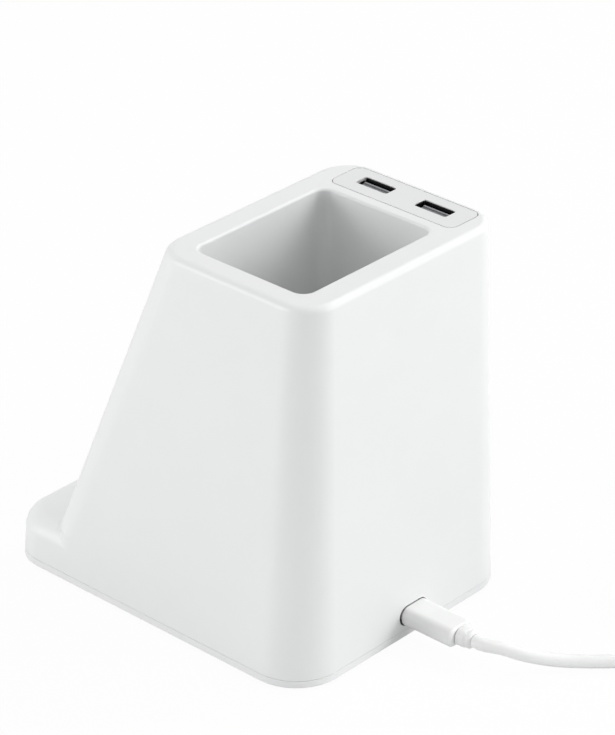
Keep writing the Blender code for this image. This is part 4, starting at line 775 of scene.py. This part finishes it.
def add_base_screws():
    """A pan-head screw with a cross recess, head down, four times."""
    middle, size = middle_of("base_screw_front_left")
    low = middle.z - size.z / 2
    head = add_cylinder((middle.x, middle.y, low + SCREW_HEAD_HEIGHT / 2), size.x / 2,
                        SCREW_HEAD_HEIGHT, 40)
    bpy.ops.object.mode_set(mode="EDIT")
    pick_faces(head, lambda spot, normal: normal.z < -FACING)
    bpy.ops.mesh.bevel(offset=SCREW_HEAD_HEIGHT * SCREW_HEAD_ROUND_SHARE, segments=4, affect="EDGES")
    pick_faces(head, lambda spot, normal: normal.z > FACING)
    bpy.ops.mesh.inset(thickness=size.x / 2 - SCREW_RADIUS)
    shank = size.z - SCREW_HEAD_HEIGHT
    bpy.ops.mesh.extrude_region_move(TRANSFORM_OT_translate={"value": (0, 0, shank - SCREW_RADIUS)})
    bpy.ops.mesh.extrude_region_move(TRANSFORM_OT_translate={"value": (0, 0, SCREW_RADIUS)})
    bpy.ops.transform.resize(value=(SCREW_TIP_SHARE, SCREW_TIP_SHARE, 1))
    bpy.ops.object.mode_set(mode="OBJECT")
    for arm in ((CROSS_ARM, CROSS_WIDTH), (CROSS_WIDTH, CROSS_ARM)):
        cross = add_cube((middle.x, middle.y, low), (*arm, 2 * CROSS_DEPTH))
        bpy.ops.object.mode_set(mode="EDIT")
        pick_faces(cross, lambda spot, normal: normal.z > FACING)
        bpy.ops.transform.resize(value=(CROSS_TAPER, CROSS_TAPER, 1))
        bpy.ops.object.mode_set(mode="OBJECT")
        use_modifier(head, "BOOLEAN", operation="DIFFERENCE", object=cross, solver="EXACT")
        bpy.data.objects.remove(cross, do_unlink=True)
    shade(head)
    set_place(head, "cover_screw_front_left", "stand", "steel", screw_steel, "base_screw_front_left")
    for corner in ("front_right", "back_left", "back_right"):
        shift = middle_of("base_screw_" + corner)[0] - middle
        copy_to(head, "cover_screw_" + corner, shift, "base_screw_" + corner)


add_feet()
add_base_screws()


# Plug in the inlet
def narrow_in_wall(plug):
    """A shoulder on the plug's moulding just inside the wall, so that the gap round it stays dark."""
    low, high = corners_of("lead_plug")
    bpy.ops.object.mode_set(mode="EDIT")
    for start in (PLUG_SHOULDER_AT, PLUG_SHOULDER_AT - PLUG_SHOULDER_LENGTH):
        cut_through((0, start, 0), (0, 1, 0))
    pick_points(plug, lambda spot: spot.y < PLUG_SHOULDER_AT - WELD)
    bpy.ops.transform.resize(center_override=(low + high) / 2, value=(
        1 - 2 * PLUG_NARROWS_BY / (high.x - low.x), 1, 1 - 2 * PLUG_NARROWS_BY / (high.z - low.z)))
    bpy.ops.object.mode_set(mode="OBJECT")


def add_plug():
    """The plug's moulding, its neck and its metal nose, one after the other."""
    for node, name, slot, material, edge in (
            ("lead_plug", "inlet_plug_moulding", "lead_tpe", lead_tpe, PLUG_EASE),
            ("lead_relief", "inlet_plug_neck", "lead_tpe", lead_tpe, PLUG_EASE),
            ("lead_plug_shell", "inlet_plug_nose", "steel", nickel_steel, SHEET / 5)):
        piece = take_form(node)
        if node == "lead_plug":
            narrow_in_wall(piece)
        ease_edges(piece, edge, PLUG_SHARP)
        yield set_place(piece, name, "lead", slot, material, node)


# Supply plug, in its own frame: it starts at the end of the lead's tail and runs along +Y
def turn_to_tail(piece, points):
    """Carry a piece from the supply plug's own frame to the end of the lead."""
    aim = (points[-1] - points[-2]).normalized()
    turn = Matrix.Rotation(math.atan2(aim.y, aim.x) - math.pi / 2, 4, "Z")
    piece.matrix_world = Matrix.Translation(points[-1] + aim * LEAD_CLEAR) @ turn @ piece.matrix_world


def add_supply_relief(points):
    """A strain relief drawn from a ring, growing towards the plug, with three grooves round it."""
    bpy.ops.object.select_all(action="DESELECT")
    start_radius = LEAD_RADIUS + RELIEF_WALL
    bpy.ops.mesh.primitive_circle_add(vertices=32, radius=start_radius, fill_type="NGON",
                                      location=(0, 0, 0), rotation=(-math.pi / 2, 0, 0))
    relief = bpy.context.object
    bpy.ops.object.transform_apply(location=False, rotation=True, scale=False)
    bpy.ops.object.mode_set(mode="EDIT")
    bpy.ops.mesh.select_all(action="SELECT")
    radius = start_radius
    growth = (RELIEF_RADIUS - start_radius) / len(RELIEF_STEPS)
    for stage, (length, dip) in enumerate(RELIEF_STEPS):
        wanted = start_radius + growth * (stage + 1) - dip
        bpy.ops.mesh.extrude_region_move(TRANSFORM_OT_translate={"value": (0, length, 0)})
        bpy.ops.transform.resize(value=(wanted / radius, 1, wanted / radius))
        radius = wanted
    bpy.ops.mesh.select_all(action="SELECT")
    bpy.ops.mesh.normals_make_consistent(inside=False)
    bpy.ops.object.mode_set(mode="OBJECT")
    ease_edges(relief, RELIEF_EASE, PLUG_SHARP)
    turn_to_tail(relief, points)
    return set_place(relief, "supply_plug_relief", "lead", "lead_tpe", lead_tpe, "far_plug_relief")


def add_supply_body(points):
    """A box with round long edges, a waist for the fingers and eased ends."""
    start = RELIEF_LENGTH + LEAD_CLEAR
    body = add_cube((0, start + SUPPLY_LENGTH / 2, 0), (SUPPLY_WIDTH, SUPPLY_LENGTH, SUPPLY_TALL))
    bpy.ops.object.mode_set(mode="EDIT")
    pick_edges(body, lambda a, b: abs(a.y - b.y) > SUPPLY_LENGTH / 2)
    bpy.ops.mesh.bevel(offset=SUPPLY_CORNER, segments=6, affect="EDGES")
    pick_edges(body, lambda a, b: abs(a.y - b.y) > SUPPLY_LENGTH / 2)
    bpy.ops.mesh.subdivide(number_cuts=9)
    for reach in SUPPLY_WAIST_REACHES:
        pick_points(body, lambda spot: abs(spot.y) < SUPPLY_LENGTH * reach)
        bpy.ops.transform.resize(value=(SUPPLY_WAIST, 1, 1))
    bpy.ops.object.mode_set(mode="OBJECT")
    use_modifier(body, "BEVEL", width=SUPPLY_EASE, segments=3, limit_method="ANGLE",
                 angle_limit=RIM_ANGLE)
    shade(body)
    use_modifier(body, "WEIGHTED_NORMAL", keep_sharp=True)
    turn_to_tail(body, points)
    return set_place(body, "supply_plug_moulding", "lead", "lead_tpe", lead_tpe, "far_plug")


def add_supply_shell(points):
    """The plug's folded steel shell, with two square latch windows in its top and two below."""
    start = RELIEF_LENGTH + SUPPLY_LENGTH + 2 * LEAD_CLEAR
    shell = add_cube((0, start + SUPPLY_SHELL_LENGTH / 2, 0),
                     (SUPPLY_SHELL_WIDTH, SUPPLY_SHELL_LENGTH, SUPPLY_SHELL_TALL))
    bpy.ops.object.mode_set(mode="EDIT")
    pick_edges(shell, lambda a, b: abs(a.y - b.y) > SUPPLY_SHELL_LENGTH / 2)
    bpy.ops.mesh.bevel(offset=PORT_CORNER, segments=3, affect="EDGES")
    pick_faces(shell, lambda spot, normal: abs(normal.y) > FACING)
    bpy.ops.mesh.delete(type="FACE")
    window_middle = start + SUPPLY_SHELL_LENGTH / 2
    cuts = [((x, 0, 0), (1, 0, 0)) for side in (-1, 1)
            for x in (side * WINDOW_SPREAD - WINDOW_SIZE / 2, side * WINDOW_SPREAD + WINDOW_SIZE / 2)]
    cuts += [((0, window_middle + side * WINDOW_SIZE / 2, 0), (0, 1, 0)) for side in (-1, 1)]
    for point, normal in cuts:
        cut_through(point, normal)
    pick_faces(shell, lambda spot, normal: abs(normal.z) > FACING and abs(spot.y) < WINDOW_SIZE / 2
               and abs(abs(spot.x) - WINDOW_SPREAD) < WINDOW_SIZE / 2)
    bpy.ops.mesh.delete(type="FACE")
    bpy.ops.object.mode_set(mode="OBJECT")
    use_modifier(shell, "SOLIDIFY", thickness=SHEET, offset=-1.0)
    shade(shell)
    turn_to_tail(shell, points)
    return set_place(shell, "supply_plug_shell", "lead", "steel", nickel_steel, "far_plug_shell")


def add_supply_insert(points):
    """The insert under the shell's opening, and the four contact pads let into its face."""
    start = RELIEF_LENGTH + SUPPLY_LENGTH + 2 * LEAD_CLEAR
    width = SUPPLY_SHELL_WIDTH - 2 * (SHEET + LEAD_CLEAR)
    length = SUPPLY_SHELL_LENGTH - LEAD_CLEAR
    low = -SUPPLY_SHELL_TALL / 2 + SHEET + LEAD_CLEAR
    insert = add_cube((0, start + length / 2, low + INSERT_THICKNESS / 2),
                      (width, length, INSERT_THICKNESS))
    ease_edges(insert, TONGUE_EDGE)
    turn_to_tail(insert, points)
    set_place(insert, "supply_plug_insert", "lead", "nylon", tongue_grey, "far_plug_insert")
    pads = []
    for across, pad_length in zip(CONTACT_SPOTS, CONTACT_LENGTHS):
        pad = add_cube((across, start + length - CONTACT_DROP - pad_length / 2, low + INSERT_THICKNESS),
                       (CONTACT_WIDTH, pad_length, CONTACT_THICKNESS))
        ease_edges(pad, CONTACT_THICKNESS / 5)
        turn_to_tail(pad, points)
        pads.append(pad)
    contacts = set_place(join(pads), "supply_plug_contacts", "lead", "steel", contact_gold)
    return insert, contacts


def add_strap():
    """The strap round the wound lead, with its free end folded down over it."""
    strap = take_form("lead_tie")
    middle, size = middle_of("lead_tie")
    end = add_cube((middle.x, middle.y, middle.z + size.z / 2 + STRAP_END_THICKNESS / 2),
                   (STRAP_END_LENGTH, STRAP_WIDTH * STRAP_END_SHARE, STRAP_END_THICKNESS))
    bpy.ops.object.mode_set(mode="EDIT")
    pick_edges(end, lambda a, b: abs(a.z - b.z) > STRAP_END_THICKNESS / 2)
    bpy.ops.mesh.bevel(offset=STRAP_WIDTH / 4, segments=4, affect="EDGES")
    bpy.ops.object.mode_set(mode="OBJECT")
    end.rotation_euler = (0, 0, TIE_ANGLE)
    join([strap, end])
    ease_edges(strap, STRAP_EASE, STRAP_SHARP)
    return set_place(strap, "lead_strap", "lead", "tie", strap_nylon, "lead_tie")


# Charging lead
def smooth_route(route, step):
    """Evenly spaced points on a Catmull-Rom curve through the route's own points."""
    ends = [2 * route[0] - route[1]] + list(route) + [2 * route[-1] - route[-2]]
    fine = []
    for here in range(1, len(ends) - 2):
        before, start, end, after = ends[here - 1:here + 3]
        for cut in range(CURVE_SLICES):
            t = cut / CURVE_SLICES
            fine.append(0.5 * (2 * start + (end - before) * t
                               + (2 * before - 5 * start + 4 * end - after) * t ** 2
                               + (3 * start - before - 3 * end + after) * t ** 3))
    fine.append(route[-1].copy())
    total = route_length(fine)
    count = max(round(total / step), 2)
    points = [fine[0]]
    walked = 0.0
    for a, b in zip(fine, fine[1:]):
        length = (b - a).length
        while len(points) < count and walked + length >= total * len(points) / count:
            points.append(a.lerp(b, (total * len(points) / count - walked) / length))
        walked += length
    points.append(fine[-1])
    return points


def route_length(points):
    """The length of the line through the points."""
    return sum((b - a).length for a, b in zip(points, points[1:]))


def wound_points():
    """A flat spiral in, a climb of one layer over half a turn, and a spiral out above it."""
    low = LEAD_RADIUS + TIE_THICKNESS + LEAD_CLEAR
    inner = WOUND_MIDDLE_RADIUS - WOUND_PITCH * WOUND_TURNS / 2
    total = 2 * WOUND_TURNS + WOUND_CLIMB_TURNS
    count = round(total * WOUND_POINTS_PER_TURN)
    points = []
    for step in range(count + 1):
        turns = total * step / count
        if turns < WOUND_TURNS:
            reach, lift = WOUND_TURNS - turns, 0.0
        elif turns < WOUND_TURNS + WOUND_CLIMB_TURNS:
            reach, lift = 0.0, (turns - WOUND_TURNS) / WOUND_CLIMB_TURNS
        else:
            reach, lift = turns - WOUND_TURNS - WOUND_CLIMB_TURNS, 1.0
        radius = inner + WOUND_PITCH * reach
        turn = WOUND_START + 2 * math.pi * turns
        points.append(Vector((WOUND_CENTRE[0] + radius * math.cos(turn),
                              WOUND_CENTRE[1] + radius * math.sin(turn), low + WOUND_PITCH * lift)))
    start_turn = WOUND_START + math.pi / 2
    end_turn = WOUND_START + 2 * math.pi * total + math.pi / 2
    straight = 2 * LEAD_RADIUS
    points.insert(0, points[0] - Vector((math.cos(start_turn), math.sin(start_turn), 0)) * straight)
    points.append(points[-1] + Vector((math.cos(end_turn), math.sin(end_turn), 0)) * straight)
    return points


def lead_points():
    """The whole lead: its free stretch over the table, its wound part and its tail."""
    wound = wound_points()
    start = LEAD_START + Vector((0, LEAD_CLEAR, 0))
    aim = (wound[1] - wound[0]).normalized()
    meet = wound[0] - aim * LEAD_CLEAR
    route = [start, start + Vector((0, 3 * LEAD_RADIUS / 2, 0))]
    route += [Vector(spot) * MM for spot in LEAD_SPOTS] + [meet - aim * 2 * LEAD_RADIUS, meet]
    free = smooth_route(route, LEAD_STEP)
    aim = (wound[-1] - wound[-2]).normalized()
    leave = wound[-1] + aim * LEAD_CLEAR
    drop = Vector((0, 0, SUPPLY_TALL / 2 + LEAD_CLEAR - leave.z))
    route = [leave, leave + aim * 2 * LEAD_RADIUS, leave + aim * TAIL_LENGTH / 2 + drop / 2,
             leave + aim * (TAIL_LENGTH - 2 * LEAD_RADIUS) + drop, leave + aim * TAIL_LENGTH + drop]
    return free + wound + smooth_route(route, LEAD_STEP)


def add_lead(points):
    """The lead's cable: one round tube along its whole route, with the plugs and the strap on it."""
    curve = bpy.data.curves.new("charging_lead", "CURVE")
    curve.dimensions = "3D"
    curve.bevel_depth = LEAD_RADIUS
    curve.bevel_resolution = 6
    curve.use_fill_caps = True
    line = curve.splines.new("POLY")
    line.points.add(len(points) - 1)
    for spot, point in zip(line.points, points):
        spot.co = (*point, 1.0)
    line.use_smooth = True
    lead = bpy.data.objects.new("charging_lead", curve)
    bpy.context.scene.collection.objects.link(lead)
    hold(lead)
    bpy.ops.object.convert(target="MESH")
    lead = bpy.context.object
    shade(lead)
    lead.data.materials.append(lead_tpe)
    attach(lead, "lead")
    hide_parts("lead_cable", "lead_wound", "lead_tail")
    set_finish(lead, "lead_tpe")
    tuple(points[0])
    route_length(points)
    [tuple(point) for point in points]


lead_route = lead_points()
on_the_lead = list(add_plug())
on_the_lead += [add_supply_relief(lead_route), add_supply_body(lead_route), add_supply_shell(lead_route)]
on_the_lead += [*add_supply_insert(lead_route), add_strap()]
add_lead(lead_route)


# Floor and light
def add_floor():
    """White paper under the stand: it takes the soft shadow, and the camera sees it nearly white."""
    bpy.ops.mesh.primitive_plane_add(size=FLOOR_SIZE, location=(0, 0, -FLOOR_DROP))
    floor = bpy.context.object
    floor.name = "studio_floor"
    paper = bpy.data.materials.new("white_paper_sweep")
    tree = fresh_tree(paper)
    seen = add_node(tree, "ShaderNodeLightPath")
    matt = add_node(tree, "ShaderNodeBsdfDiffuse", {"Color": linear("#E6E6E6")})
    glow = add_node(tree, "ShaderNodeEmission", {"Color": (1, 1, 1, 1), "Strength": 1.0})
    share = add_node(tree, "ShaderNodeMath", {"operation": "MULTIPLY", 1: FLOOR_GLOW},
                     {0: seen.outputs["Is Camera Ray"]})
    mix = add_node(tree, "ShaderNodeMixShader", {},
                   {0: share.outputs[0], 1: matt.outputs[0], 2: glow.outputs[0]})
    add_node(tree, "ShaderNodeOutputMaterial", {}, {"Surface": mix.outputs[0]})
    floor.data.materials.append(paper)
    bpy.ops.object.select_all(action="DESELECT")


def add_world():
    """Soft light from all round, and plain white where the camera or a gloss sees past the stand."""
    world = bpy.data.worlds.new("white_studio")
    bpy.context.scene.world = world
    tree = fresh_tree(world)
    seen = add_node(tree, "ShaderNodeLightPath")
    either = add_node(tree, "ShaderNodeMath", {"operation": "MAXIMUM"},
                      {0: seen.outputs["Is Camera Ray"], 1: seen.outputs["Is Glossy Ray"]})
    any_of = add_node(tree, "ShaderNodeMath", {"operation": "MAXIMUM"},
                      {0: either.outputs[0], 1: seen.outputs["Is Transmission Ray"]})
    soft = add_node(tree, "ShaderNodeBackground", {"Color": (1, 1, 1, 1), "Strength": ROOM_LIGHT})
    white = add_node(tree, "ShaderNodeBackground", {"Color": (1, 1, 1, 1), "Strength": 1.0})
    mix = add_node(tree, "ShaderNodeMixShader", {},
                   {0: any_of.outputs[0], 1: soft.outputs[0], 2: white.outputs[0]})
    add_node(tree, "ShaderNodeOutputWorld", {}, {"Surface": mix.outputs[0]})


def add_lamp(name, place, size, power):
    """A square softbox that looks at the stand."""
    data = bpy.data.lights.new(name, "AREA")
    data.shape = "SQUARE"
    data.size = size
    data.energy = power
    lamp = bpy.data.objects.new(name, data)
    bpy.context.scene.collection.objects.link(lamp)
    lamp.location = place
    lamp.rotation_mode = "QUATERNION"
    lamp.rotation_quaternion = (Vector(place) - LAMP_AIM).to_track_quat("Z", "Y")


add_floor()
add_world()
add_lamp("softbox_side", *SIDE_LAMP)
add_lamp("softbox_back", *BACK_LAMP)
add_lamp("softbox_back_high", *BACK_HIGH_LAMP)
add_lamp("softbox_top", *TOP_LAMP)
add_lamp("softbox_far", *FAR_LAMP)
bpy.context.scene.view_settings.view_transform = "Standard"

bpy.context.view_layer.update()
